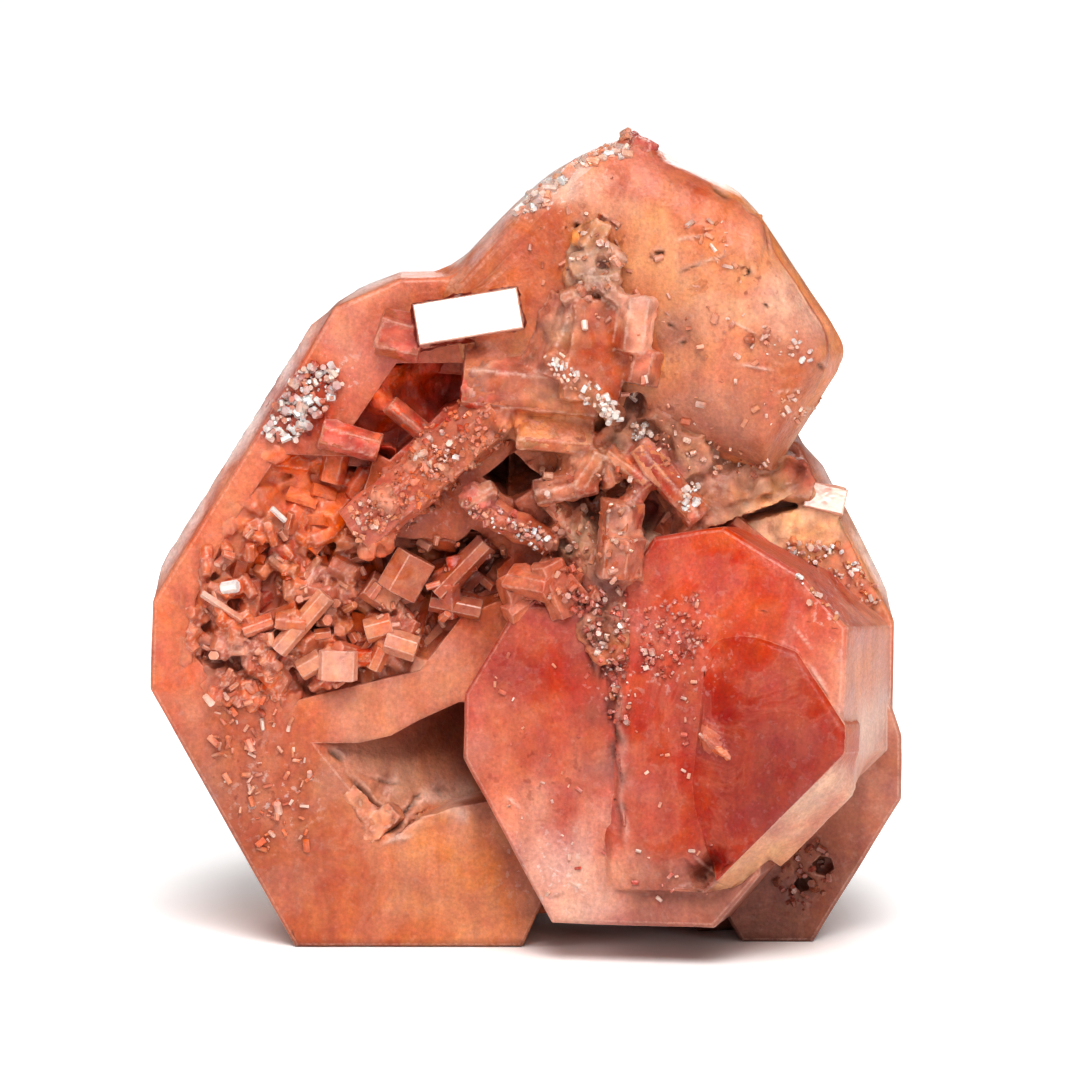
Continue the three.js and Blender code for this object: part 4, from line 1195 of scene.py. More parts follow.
# A flat outline, closed at the back, whose front may lean.
def addPlate(pile, outline, front, back, colour):
    base, count = len(pile["verts"]), len(outline)
    pile["verts"] += [Vector((x, front[0] + front[1] * x + front[2] * z, z)) for x, z in outline]
    pile["verts"] += [Vector((x, back, z)) for x, z in outline]
    pile["tints"] += [linearColour(colour)] * (2 * count)
    pile["faces"].append(tuple(base + i for i in range(count)))
    pile["faces"].append(tuple(base + count + i for i in reversed(range(count))))
    for i in range(count):
        after = (i + 1) % count
        pile["faces"].append((base + i, base + count + i, base + count + after, base + after))
    pile["rims"] += [0.0] * (count + 2)


middleBlocks = {  # the blocks, bars and porous stone where the plates meet, welded in one skin
    "look": {
        **clusterBody["look"], "cloudScale": 0.8, "cloud": 0.1, "grain": 0.08, "rim": 0.5, "grit": 0.15,
        "dustAndGlints": 0.1, "roughness": 0.4, "ripple": 0.035, "tooth": 0.016,
    },
    "grow": 0.03, "chamfer": 0.05,
    "blocks": [  # place, length, width, depth, lift, roll, colour of the near and far end
        ((1.15, -3.7, 14.55), 1.9, 0.9, 0.9, 12, 15, "terracotta", "paleTan"),
        ((1.9, -3.9, 15.1), 1.3, 0.8, 0.8, 58, 0, "paleTan", "orangeTan"),
        ((-1.5, -3.4, 14.2), 1.2, 0.6, 0.7, 30, 0, "mauve", "terracotta"),
        ((2.1, -4.05, 22.3), 0.9, 0.7, 0.5, 62, 10, "ashTan", "orangeTan"),
        ((2.5, -4.1, 21.7), 1.0, 0.6, 0.5, -35, 0, "paleTan", "ashTan"),
        ((1.7, -4.1, 21.4), 0.8, 0.8, 0.5, 20, 0, "greyTan", "ashTan"),
        ((2.3, -4.15, 21.0), 1.1, 0.5, 0.6, 5, 0, "ashTan", "greyTan"),
        ((1.6, -4.1, 20.6), 1.2, 0.5, 0.6, 24, 0, "greyTan", "mauve"),
        ((2.6, -4.2, 20.5), 0.9, 0.6, 0.5, -40, 0, "mauve", "ashTan"),
        ((-3.85, -2.9, 19.1), 1.3, 1.5, 1.2, -14, 0, "rosePink", "pink"),
        ((1.1, -3.2, 19.1), 2.4, 1.9, 2.0, 68, 14, "clay", "mauve"),
        ((0.15, -2.9, 17.6), 4.2, 2.2, 2.0, -6, 8, "clay", "terracotta"),
        ((0.85, -3.2, 16.1), 2.3, 1.25, 1.6, -4, 20, "terracotta", "terracotta"),
        ((3.3, -4.3, 19.6), 1.7, 1.15, 1.0, 82, 0, "blush", "blush"),
        ((3.45, -4.0, 18.3), 1.1, 1.25, 1.2, 78, 0, "clay", "salmon"),
        ((-5.4, -2.7, 15.85), 1.85, 0.95, 0.8, -15, 0, "pink", "pink"),
        ((-3.55, -2.5, 16.4), 1.7, 0.65, 0.9, -40, 0, "rosePink", "pink"),
        ((2.8, -4.0, 13.0), 2.3, 1.35, 1.3, 84, -12, "clay", "paleTan"),
        ((2.85, -4.2, 12.5), 1.3, 1.5, 1.4, 84, -12, "salmon", "clay"),
        ((4.3, -3.9, 14.75), 2.9, 0.9, 0.9, -50, 15, "deepRed", "deepSalmon"),
        ((3.0, -3.9, 15.2), 1.5, 0.6, 0.7, -38, 0, "paleSalmon", "salmon"),
        ((3.35, -3.8, 14.4), 1.4, 0.6, 0.7, 48, 0, "clay", "salmon"),
        ((2.4, -3.7, 15.2), 1.2, 0.6, 0.7, -68, 0, "terracotta", "mauve"),
        ((1.2, -3.1, 13.4), 1.8, 0.7, 0.8, -55, 20, "paleTan", "blush"),
        ((1.0, -3.2, 14.6), 1.6, 0.7, 0.8, 35, 0, "terracotta", "clay"),
        ((-1.9, -2.2, 11.9), 2.2, 0.75, 0.9, 46, 0, "rust", "clay"),
        ((8.1, -2.3, 14.35), 1.3, 0.95, 1.0, -8, 0, "blush", "blush"),
        ((9.1, -2.0, 14.0), 1.3, 0.9, 1.0, -12, -14, "pearl", "pearl"),
        ((3.2, -2.4, 24.3), 1.7, 1.2, 1.1, 68, 0, "rosePink", "rosePink"),
        ((5.75, -5.75, 6.9), 1.2, 0.4, 0.5, -39, 0, "salmon", "salmon"),
        ((5.6, -4.0, 20.9), 1.2, 0.45, 0.5, 22, 0, "blush", "paleSalmon"),
    ],
    "roughBars": [  # the same, and the height of the lumps
        ((-3.05, -3.1, 14.95), 5.7, 1.5, 1.3, 41, 12, "salmon", "mauve", 0.75),
        ((-0.5, -3.2, 13.4), 2.9, 0.85, 0.9, -27, 0, "rosePink", "mauve", 0.4),
        ((1.7, -4.4, 17.75), 3.0, 0.75, 0.8, -43, 10, "terracotta", "ashTan", 0.14),
        ((2.0, -3.7, 21.6), 1.3, 0.6, 0.6, 62, 0, "mauve", "paleTan", 0.06),
        ((1.9, -3.6, 20.8), 1.4, 0.8, 0.6, -12, 0, "ashTan", "mauve", 0.08),
    ],
    "slabs": [  # place, length, width, thickness, turn, lift, roll, colour
        # The darkRed slab sits just behind the bright face and shows as a painted shade outline around it.
        ((-1.78, -3.66, 19.78), 3.19, 1.23, 1.8, 0, 12, 9.5, "darkRed"),
        ((2.15, -4.35, 18.75), 1.7, 3.0, 1.7, 14, 5, -9, "terracotta"),
        ((-5.0, -2.42, 4.35), 1.5, 0.5, 0.8, 20, 14, -52, "paleTan"),
        ((-4.6, -2.5, 3.9), 1.3, 0.6, 0.8, -10, 6, 42, "paleTan"),
    ],
    "rightFace": {  # y of its front is a + b x + c z
        "outline": [
            (6.4, 13.3), (8.6, 13.75), (9.45, 13.55), (10.25, 11.95), (10.8, 10.85), (10.2, 9.9),
            (7.6, 11.5),
        ],
        "front": (-4.2, 0.28, -0.05), "back": 0.4, "colour": "apricot",
    },
    "redPit": {  # glowing floor of the pit under the bright face
        "outline": [
            (-4.5, 18.1), (-1.7, 18.4), (-1.1, 17.4), (-1.8, 16.5), (-3.2, 15.3), (-4.7, 15.1),
            (-5.5, 16.1), (-4.9, 17.2),
        ],
        "levels": [
            (-4.9, 16.3, -1.7), (-4.2, 15.6, -1.4), (-3.6, 15.4, -1.2), (-4.5, 17.0, -2.5),
            (-4.2, 18.0, -2.5), (-3.5, 17.3, -1.7), (-2.7, 17.3, -1.0), (-2.1, 17.7, -0.8),
            (-2.2, 16.9, -0.9), (-3.3, 16.5, -1.6), (-3.0, 18.0, -1.6), (-1.4, 17.4, -0.9),
        ],
        "step": 0.08, "back": 0.6, "cells": 1.1, "relief": 0.1, "edge": 0.3, "rim": None,
        "tints": ["hotRed", "glowRed"],
    },
    "ledges": {  # small steps on the upper plate
        "outline": [
            (1.35, 22.4), (2.2, 22.8), (2.9, 22.3), (3.1, 21.3), (3.0, 20.1), (2.2, 19.9), (1.3, 20.1),
            (1.1, 20.9),
        ],
        "levels": [
            (2.1, 22.3, -3.85), (2.6, 21.4, -4.05), (1.6, 21.2, -3.8), (2.0, 20.6, -3.95),
            (2.8, 20.5, -4.1),
        ],
        "step": 0.06, "back": -3.0, "cells": 2.4, "relief": 0.3, "edge": 0.25, "rim": -3.6,
        "tints": ["ashTan", "greyTan", "mauve", "paleTan", "orangeTan"],
    },
    "porous": {  # levels are x, z and the y of the ground there
        "outline": [
            (-0.6, 15.5), (0.2, 16.2), (2.0, 15.9), (2.9, 16.9), (2.9, 17.8), (4.2, 17.8), (4.6, 16.9),
            (6.4, 16.1), (8.5, 15.2), (8.8, 14.6), (7.4, 13.9), (5.4, 13.3), (4.2, 12.5), (3.5, 11.4),
            (3.0, 9.4), (2.2, 9.2), (1.2, 10.4), (0.4, 11.1), (-0.5, 12.0), (-0.6, 13.2),
        ],
        "levels": [
            (0.0, 15.0, -0.8), (0.4, 14.6, -1.2), (1.5, 13.4, -3.8), (1.9, 12.3, -3.9), (1.3, 11.4, -3.7),
            (2.4, 10.4, -4.5), (2.6, 9.4, -4.85), (3.4, 16.0, -3.8), (3.6, 13.8, -2.6), (2.2, 13.9, -2.0),
            (5.3, 16.2, -3.72), (6.6, 15.6, -3.5), (8.0, 15.0, -3.05), (5.9, 14.2, -3.9),
            (7.0, 14.3, -3.4), (4.6, 15.4, -3.8), (1.6, 15.2, -4.0), (2.6, 15.2, -4.1), (0.3, 12.1, -1.4),
            (3.4, 17.4, -3.35), (4.0, 17.0, -3.8), (3.2, 12.0, -4.4), (2.4, 11.4, -4.2),
            (0.9, 13.6, -3.2), (1.2, 14.7, -3.6), (8.4, 14.7, -2.9), (5.4, 13.4, -4.1),
        ],
        "step": 0.08, "back": 0.3, "cells": 1.5, "relief": 0.3, "edge": 0.3, "rim": None,
        "tints": ["greyTan", "paleTan", "ashTan", "terracotta", "mauve"],
    },
    "weld": {  # voxel, rounds of easing, height of the lumps, how mottled
        "grid": 0.087, "easing": 1, "lumps": 0.15, "mottle": 0.45,
        "calm": [  # x, z, reach, strength: where the faces stay smooth
            (-0.2, 17.7, 1.1, 0.9), (0.9, 16.2, 0.9, 0.9), (2.3, 18.9, 1.0, 0.9), (3.3, 19.3, 0.8, 0.9),
            (3.4, 18.2, 0.6, 0.9), (2.9, 12.8, 0.8, 0.85), (6.8, 14.9, 1.5, 0.75), (5.2, 15.9, 1.1, 0.6),
            (9.4, 12.2, 1.8, 0.8), (-5.3, 15.8, 0.9, 0.9), (-3.5, 16.4, 0.8, 0.9), (4.4, 14.6, 0.8, 0.6),
            (-3.9, 19.1, 0.9, 0.8), (8.6, 14.2, 1.0, 0.9), (7.2, 13.8, 0.7, 0.7),
        ],
        "paint": [  # x, z, reach, colour, strength
            # The umber patches and the ember one paint shade into the cavities between the blocks; the sunlit
            # ones are painted light on the right face.
            (1.05, 19.4, 0.4, "ashTan", 3.0), (2.0, 18.9, 0.6, "rust", 4.0),
            (2.6, 18.9, 0.3, "rust", 8.0), (1.3, 19.2, 0.4, "greyTan", 5.0),
            (2.7, 17.7, 0.4, "rust", 3.0), (-1.5, 18.1, 0.4, "ashTan", 3.0),
            (-0.8, 18.0, 0.5, "clay", 2.0), (-1.6, 17.4, 0.28, "cream", 3.0),
            (0.3, 17.1, 0.5, "paleTan", 2.0), (1.0, 16.9, 0.6, "orangeTan", 2.0),
            (0.5, 16.2, 0.8, "orangeTan", 3.0), (1.9, 16.0, 0.4, "rust", 2.0),
            (0.0, 15.0, 0.5, "umber", 8.0), (3.2, 17.2, 0.45, "umber", 9.0),
            (4.1, 16.6, 0.6, "mauveBrown", 4.0), (5.3, 15.9, 1.1, "greyTan", 6.0),
            (6.8, 15.0, 1.0, "greyTan", 6.0), (6.0, 14.8, 0.7, "mauveBrown", 4.0),
            (1.9, 14.7, 0.5, "rust", 4.0), (3.4, 15.9, 0.45, "mauve", 3.0),
            (1.6, 15.3, 0.5, "paleTan", 3.0), (2.3, 15.4, 0.4, "greyTan", 3.0),
            (1.1, 14.5, 0.4, "terracotta", 3.0), (3.9, 15.3, 0.4, "deepRed", 9.0),
            (4.2, 14.8, 0.4, "deepRed", 9.0), (-3.8, 17.2, 0.6, "hotRed", 6.0),
            (-2.5, 17.2, 0.7, "glowRed", 14.0), (-4.4, 16.1, 0.4, "hotRed", 9.0),
            (-5.4, 15.85, 0.7, "rosePink", 5.0), (4.8, 13.8, 0.4, "paleSalmon", 3.0),
            (2.8, 13.3, 0.4, "blush", 3.0), (2.9, 12.5, 0.5, "clay", 6.0),
            (1.6, 13.0, 0.4, "ashTan", 3.0), (2.0, 12.3, 0.4, "greyTan", 3.0),
            (1.5, 11.4, 0.6, "dusk", 4.0), (2.5, 11.5, 0.4, "dusk", 4.0),
            (2.4, 10.4, 0.5, "mauveBrown", 3.0), (0.2, 12.2, 0.5, "umber", 5.0),
            (-0.5, 12.2, 0.5, "rust", 3.0), (-5.3, 13.2, 0.5, "peach", 2.0),
            (-4.5, 13.8, 0.5, "blush", 2.0), (-3.2, 15.6, 0.45, "blush", 2.0),
            (-2.4, 15.1, 0.5, "mauve", 2.0), (-1.4, 15.0, 0.5, "ashTan", 2.0),
            (-0.6, 17.1, 0.4, "dusk", 2.0), (2.3, 13.9, 0.3, "umber", 5.0),
            (3.6, 13.8, 0.3, "ember", 5.0), (5.9, 13.9, 0.6, "greyTan", 2.0),
            (7.6, 13.2, 0.8, "sunlit", 14.0), (9.4, 13.2, 0.7, "sunlit", 6.0),
            (10.3, 11.6, 1.0, "salmon", 12.0), (8.9, 12.3, 0.7, "apricot", 5.0),
            (8.0, 12.4, 0.35, "mauveBrown", 3.0), (8.5, 15.0, 0.6, "rust", 6.0),
        ],
    },
}
middlePile = newPile()
addPlate(middlePile, **middleBlocks["rightFace"])
addMound(middlePile, middleBlocks["redPit"])
addMound(middlePile, middleBlocks["ledges"])
for at, long, wide, deep, lift, roll, near, far in middleBlocks["blocks"]:
    size = [side + middleBlocks["grow"] for side in (long, wide, deep)]
    ends = linearColour(near), linearColour(far)
    addCrystal(middlePile, placement(at, 90, lift, roll), size, *ends, middleBlocks["chamfer"])
for bar in middleBlocks["roughBars"]:
    addRoughBar(middlePile, *bar)
addMound(middlePile, middleBlocks["porous"])
for *sizes, colour in middleBlocks["slabs"]:
    addSlab(middlePile, *sizes, linearColour(colour))
middleMesh, middleTint = weldPile("middleBlocks", middlePile, middleBlocks["weld"])
print("middle welded")

brightFaces = {  # two faces that shine like mirrors
    "look": {
        **clusterBody["look"], "roughness": 0.1, "ior": 2.3, "grit": 0.0, "dustAndGlints": 0.0, "swell": 0.004,
        "ripple": 0.0, "tooth": 0.0, "sheen": 0.5, "glow": 0.1,
    },
    "slabs": [  # place, length, width, thickness, turn, lift, roll, colour
        ((-1.78, -3.95, 19.8), 3.1, 1.16, 1.8, 0, 12, 9.5, "pearl"),
        ((9.15, -2.5, 14.05), 1.15, 0.7, 1.4, 0, 14, -13, "pearl"),
    ],
}
mirrorPile = newPile()
for *sizes, colour in brightFaces["slabs"]:
    addSlab(mirrorPile, *sizes, linearColour(colour))


usualPlace = {  # what holds for a place of small crystals unless it says otherwise
    "look": (0, 1, 0), "level": -2.5,  # which way they fall on the stone, and from around which y
    "nearest": -9, "furthest": 9, "facing": 0.2,  # y limits of the stone, and how squarely it faces them
    "wide": (0.45, 0.8), "deep": (0.7, 1.0),  # shares of the length and of the width
    "lean": (50, 90), "sink": 0.3, "chamfer": 0.0,
    "tries": 12,  # for each crystal wanted
}


def scatter(pile, tree, place, seed):
    place = {**usualPlace, **place}
    pick = random.Random(seed)
    outline = place["outline"]
    lowX, highX = min(x for x, z in outline), max(x for x, z in outline)
    lowZ, highZ = min(z for x, z in outline), max(z for x, z in outline)
    look = Vector(place["look"]).normalized()
    made = 0
    for _ in range(place["count"] * place["tries"]):
        if made == place["count"]:
            break
        x, z = pick.uniform(lowX, highX), pick.uniform(lowZ, highZ)
        if not insideOutline(x, z, outline):
            continue
        level = Vector((x, place["level"], z))
        point, normal, _, _ = tree.ray_cast(level - look * 8, look)
        if point is None or not place["nearest"] < point.y < place["furthest"]:
            continue
        if normal.dot(look) > 0:
            normal = -normal
        if normal.dot(look) > -place["facing"]:
            continue
        small, large = place["size"]
        long = small + (large - small) * pick.random() ** 1.6  # more small ones than large
        wide = long * pick.uniform(*place["wide"])
        deep = wide * pick.uniform(*place["deep"])
        lean = math.radians(pick.uniform(*place["lean"]))
        around = pick.uniform(0, 2 * math.pi)
        side = normal.orthogonal().normalized()
        side = Matrix.Rotation(around, 3, normal) @ side
        axis = normal * math.cos(lean) + side * math.sin(lean)
        spin = Matrix.Rotation(math.radians(pick.uniform(-25, 25)), 3, axis)
        out = spin @ (normal - axis * normal.dot(axis) + side * 1e-4).normalized()
        across = axis.cross(out)
        height = 0.5 * (abs(math.cos(lean)) * long + math.sin(lean) * deep)
        at = point + normal * height * (1 - 2 * place["sink"])
        matrix = Matrix((out, across, axis)).transposed().to_4x4()
        matrix.translation = at
        tints = place["tints"]
        near = linearColour(pick.choice(tints)) * pick.uniform(0.85, 1.2)
        far = near + (linearColour(pick.choice(tints)) - near) * 0.5
        taper = pick.uniform(0.8, 1.0)
        addCrystal(pile, matrix, (long, wide, deep), near, far, place["chamfer"], taper)
        made += 1


# Outlines of the crystal-lined hollow and of its upper end.
hollowField = [
    (-9.0, 12.7), (-10.1, 11.2), (-10.3, 9.3), (-9.6, 8.1), (-7.0, 8.2), (-5.4, 8.3), (-3.1, 8.9),
    (-2.5, 10.2), (-0.3, 10.9), (-0.3, 12.4), (-2.1, 12.8), (-3.9, 12.7), (-5.4, 13.2), (-6.0, 13.1),
    (-8.0, 13.5), (-8.8, 13.1),
]
upperHollow = [(-7.9, 13.4), (-5.6, 13.4), (-4.2, 14.8), (-4.6, 15.6), (-7.4, 15.7)]

hollowCrystals = {  # the crystals of the hollow, large ones first, welded in one skin
    "look": {
        **clusterBody["look"], "cloudScale": 0.9, "cloud": 0.12, "grain": 0.09, "rim": 0.55, "grit": 0.1,
        "dustAndGlints": 0.04, "roughness": 0.34, "ripple": 0.02, "tooth": 0.01, "sheen": 0.45,
    },
    "seed": 20,
    "ground": {
        "outline": [
            (-7.6, 15.9), (-8.4, 15.2), (-9.6, 13.2), (-10.7, 11.2), (-10.7, 8.9), (-9.6, 7.6),
            (-7, 7.25), (-3.1, 8.3), (-1.7, 10.1), (-0.4, 10.8), (-0.4, 12.9), (-3.6, 13.2), (-4.0, 15.6),
        ],
        "levels": [
            (-9.6, 12.2, -2.5), (-10.3, 10.5, -2.5), (-10.2, 8.8, -2.5), (-9.2, 7.9, -2.5),
            (-7, 7.9, -2.45), (-5.2, 8.4, -2.35), (-3.4, 8.9, -2.3), (-8.9, 13.2, -2.55),
            (-8.3, 13.9, -2.55), (-7.8, 14.9, -2.52), (-8.3, 14.5, -2.55), (-7.9, 15.4, -2.5),
            (-7.2, 14.9, -1.9), (-7.2, 14.0, -1.9), (-7.5, 11, -2.3), (-6, 9.6, -2.3),
            (-5.5, 11.6, -2.25), (-4, 10.4, -2.1), (-3.2, 11.8, -1.9), (-1.5, 10.8, -1.8),
            (-0.8, 12, -1.2), (-2.2, 12.9, -1.1), (-6.6, 14.3, -1.8), (-5.8, 14.4, -1.5),
            (-5.0, 15.2, -0.9), (-6.4, 15.5, -1.6), (-4.6, 14.6, -0.9), (-4.0, 12.6, -1.6),
            (-8.0, 13.3, -2.45),
        ],
        "step": 0.08, "back": -0.3, "cells": 1.35, "relief": 0.4, "edge": 0.7, "rim": -2.51,
        "tints": ["terracotta", "clay", "rust", "salmon", "terracotta"],
    },
    "rounds": [
        {
            "outline": hollowField, "count": 80, "size": (0.6, 1.3), "sink": 0.45, "chamfer": 0.03,
            "lean": (55, 90), "tints": ["terracotta", "salmon", "redOrange", "salmon"], "nearest": -2.7,
        },
        {
            "outline": upperHollow, "count": 16, "size": (0.7, 1.6), "sink": 0.5, "chamfer": 0.03,
            "lean": (70, 90), "tints": ["flame", "hotRed", "redOrange"], "nearest": -2.5,
        },
        {
            "outline": [
                (-9.8, 12.4), (-10.3, 10.6), (-9.9, 8.0), (-7.2, 7.9), (-3.6, 8.7), (-3.2, 10.4),
                (-5.0, 13.1), (-7.6, 13.8),
            ],
            "count": 110, "size": (0.4, 1.0), "sink": 0.38, "chamfer": 0.025, "lean": (60, 90),
            "tints": ["clay", "salmon", "terracotta", "paleTan"], "nearest": -2.95,
        },
        {
            "outline": [(-10.2, 11.6), (-10.4, 9.4), (-9.7, 7.6), (-7.5, 7.6), (-7.6, 9.6), (-9.2, 11.2)],
            "count": 80, "size": (0.25, 0.6), "sink": 0.35, "chamfer": 0.02,
            "tints": ["clay", "salmon", "paleTan", "blush"],
        },
    ],
    "weld": {
        "grid": 0.061, "easing": 1, "lumps": 0.03, "mottle": 0.25, "calm": [],
        "paint": [  # x, z, reach, colour, strength
            (-6.3, 14.4, 0.9, "flame", 9.0), (-7.0, 15.4, 0.6, "hotRed", 4.0),
            (-5.5, 14.7, 0.8, "hotRed", 9.0), (-4.9, 15.4, 0.5, "glowRed", 9.0),
            (-8.9, 13.3, 0.8, "salmon", 9.0), (-8.2, 14.6, 0.55, "salmon", 12.0),
            (-10.6, 11.2, 0.5, "salmon", 9.0), (-10.7, 10.0, 0.4, "salmon", 9.0),
            (-10.6, 8.8, 0.4, "salmon", 9.0), (-9.8, 7.8, 0.4, "salmon", 9.0),
            (-7.0, 7.3, 0.5, "clay", 9.0), (-5.2, 7.8, 0.5, "paleTan", 9.0),
            (-3.4, 8.3, 0.5, "paleTan", 9.0), (-9.8, 12.5, 0.5, "salmon", 9.0),
            (-2.2, 9.5, 0.5, "clay", 9.0), (-8.0, 15.6, 0.4, "clay", 6.0), (-9.8, 10.4, 0.7, "clay", 2.0),
            (-9.6, 8.6, 0.7, "clay", 2.0), (-3.7, 11.8, 0.6, "orangeTan", 2.0),
            (-1.2, 12.3, 0.8, "darkRed", 4.0), (-1.4, 11.0, 0.7, "rust", 3.0),
            (-2.6, 10.2, 0.8, "rust", 2.0), (-4.6, 13.0, 0.5, "umber", 4.0),
        ],
    },
}

crustCrests = {  # crisp crystals that stand out of the hollow
    "forward": 0.2, "chamfer": 0.03, "seed": 30,
    "named": [  # place, length, width, depth, turn, lift, roll, colours of the ends
        ((-6.9, -2.75, 10.25), 2.3, 0.66, 0.6, 90, 49, 0, "blush", "paleTan"),
        ((-5.8, -2.7, 8.92), 0.95, 1.25, 0.5, 90, 88, 0, "blush", "blush"),
        ((-3.85, -2.6, 9.55), 1.0, 0.85, 0.8, 84, -17, -10, "blush", "paleTan"),
        ((-4.55, -2.5, 10.05), 0.85, 0.8, 0.7, 90, 15, 0, "paleTan", "salmon"),
        ((-6.65, -2.5, 8.9), 0.8, 0.7, 0.6, 90, 30, 0, "paleTan", "paleTan"),
        ((-4.6, -2.4, 9.1), 0.75, 0.6, 0.6, 90, 65, 0, "paleTan", "salmon"),
        ((-8.25, -2.6, 10.15), 1.0, 0.55, 0.6, 90, 20, 0, "paleSalmon", "salmon"),
        ((-7.6, -2.75, 13.6), 0.62, 0.2, 0.4, 90, -43, 0, "snow", "snow"),
        ((-9.1, -2.7, 11.35), 0.55, 0.42, 0.4, 70, 12, 0, "snow", "snow"),
        ((-9.35, -2.75, 10.75), 1.5, 0.26, 0.4, 90, -34, 0, "cream", "blush"),
        ((-3.7, -2.45, 11.7), 1.3, 1.5, 0.9, 96, 60, 20, "terracotta", "terracotta"),
        ((-2.0, -2.45, 11.9), 2.2, 0.75, 0.8, 90, 46, 0, "rust", "clay"),
        ((-4.5, -2.2, 11.1), 1.1, 1.0, 0.8, 100, -35, 0, "salmon", "paleTan"),
        ((-2.2, -2.2, 10.7), 1.6, 0.7, 0.7, 90, -12, 0, "rust", "terracotta"),
    ],
    "between": {
        "outline": hollowField, "count": 80, "size": (0.2, 0.55), "sink": 0.35, "chamfer": 0.02,
        "lean": (50, 90),
        "tints": ["salmon", "paleTan", "blush", "clay", "terracotta"],
        "nearest": -2.9,
    },
}

crustPile, crestPile = newPile(), newPile()
for (x, y, z), long, wide, deep, turn, lift, roll, near, far in crustCrests["named"]:
    where = placement((x, y - crustCrests["forward"], z), turn, lift, roll)
    ends = linearColour(near), linearColour(far)
    addCrystal(crestPile, where, (long, wide, deep), *ends, crustCrests["chamfer"])
addMound(crustPile, hollowCrystals["ground"])
for step, place in enumerate(hollowCrystals["rounds"]):
    tree = groundTree([bodyMesh], [middlePile, crustPile])
    scatter(crustPile, tree, place, hollowCrystals["seed"] + step)
crustMesh, crustTint = weldPile("hollowCrystals", crustPile, hollowCrystals["weld"])
tree = groundTree([bodyMesh, crustMesh], [middlePile, crestPile])
scatter(crestPile, tree, crustCrests["between"], crustCrests["seed"])
print("crust grown")

faceSpray = {  # loose specks on the plates
    "seed": 40,
    "usual": {},
    "places": [
        {
            "outline": [(-9.9, 8.2), (-7.6, 8.2), (-6.6, 5.2), (-6.8, 3.0), (-8.3, 3.0), (-9.6, 5.9)],
            "count": 90, "size": (0.12, 0.42), "sink": 0.25,
            "tints": ["salmon", "paleTan", "blush", "clay", "cream"], "wide": (0.3, 0.7),
        },
        {
            "outline": [(-1.2, 9.5), (5.6, 9.5), (5.6, 2), (-1, 2)], "count": 60, "size": (0.08, 0.22),
            "sink": 0.3, "tints": ["blush", "rosePink", "cream"],
        },
        {
            "outline": [(0, 24), (8.8, 20), (8.6, 16.6), (4, 16.2), (0, 21)],
            "count": 70, "size": (0.08, 0.3), "sink": 0.3,
            "tints": ["blush", "paleTan", "cream", "terracotta"],
        },
    ],
}

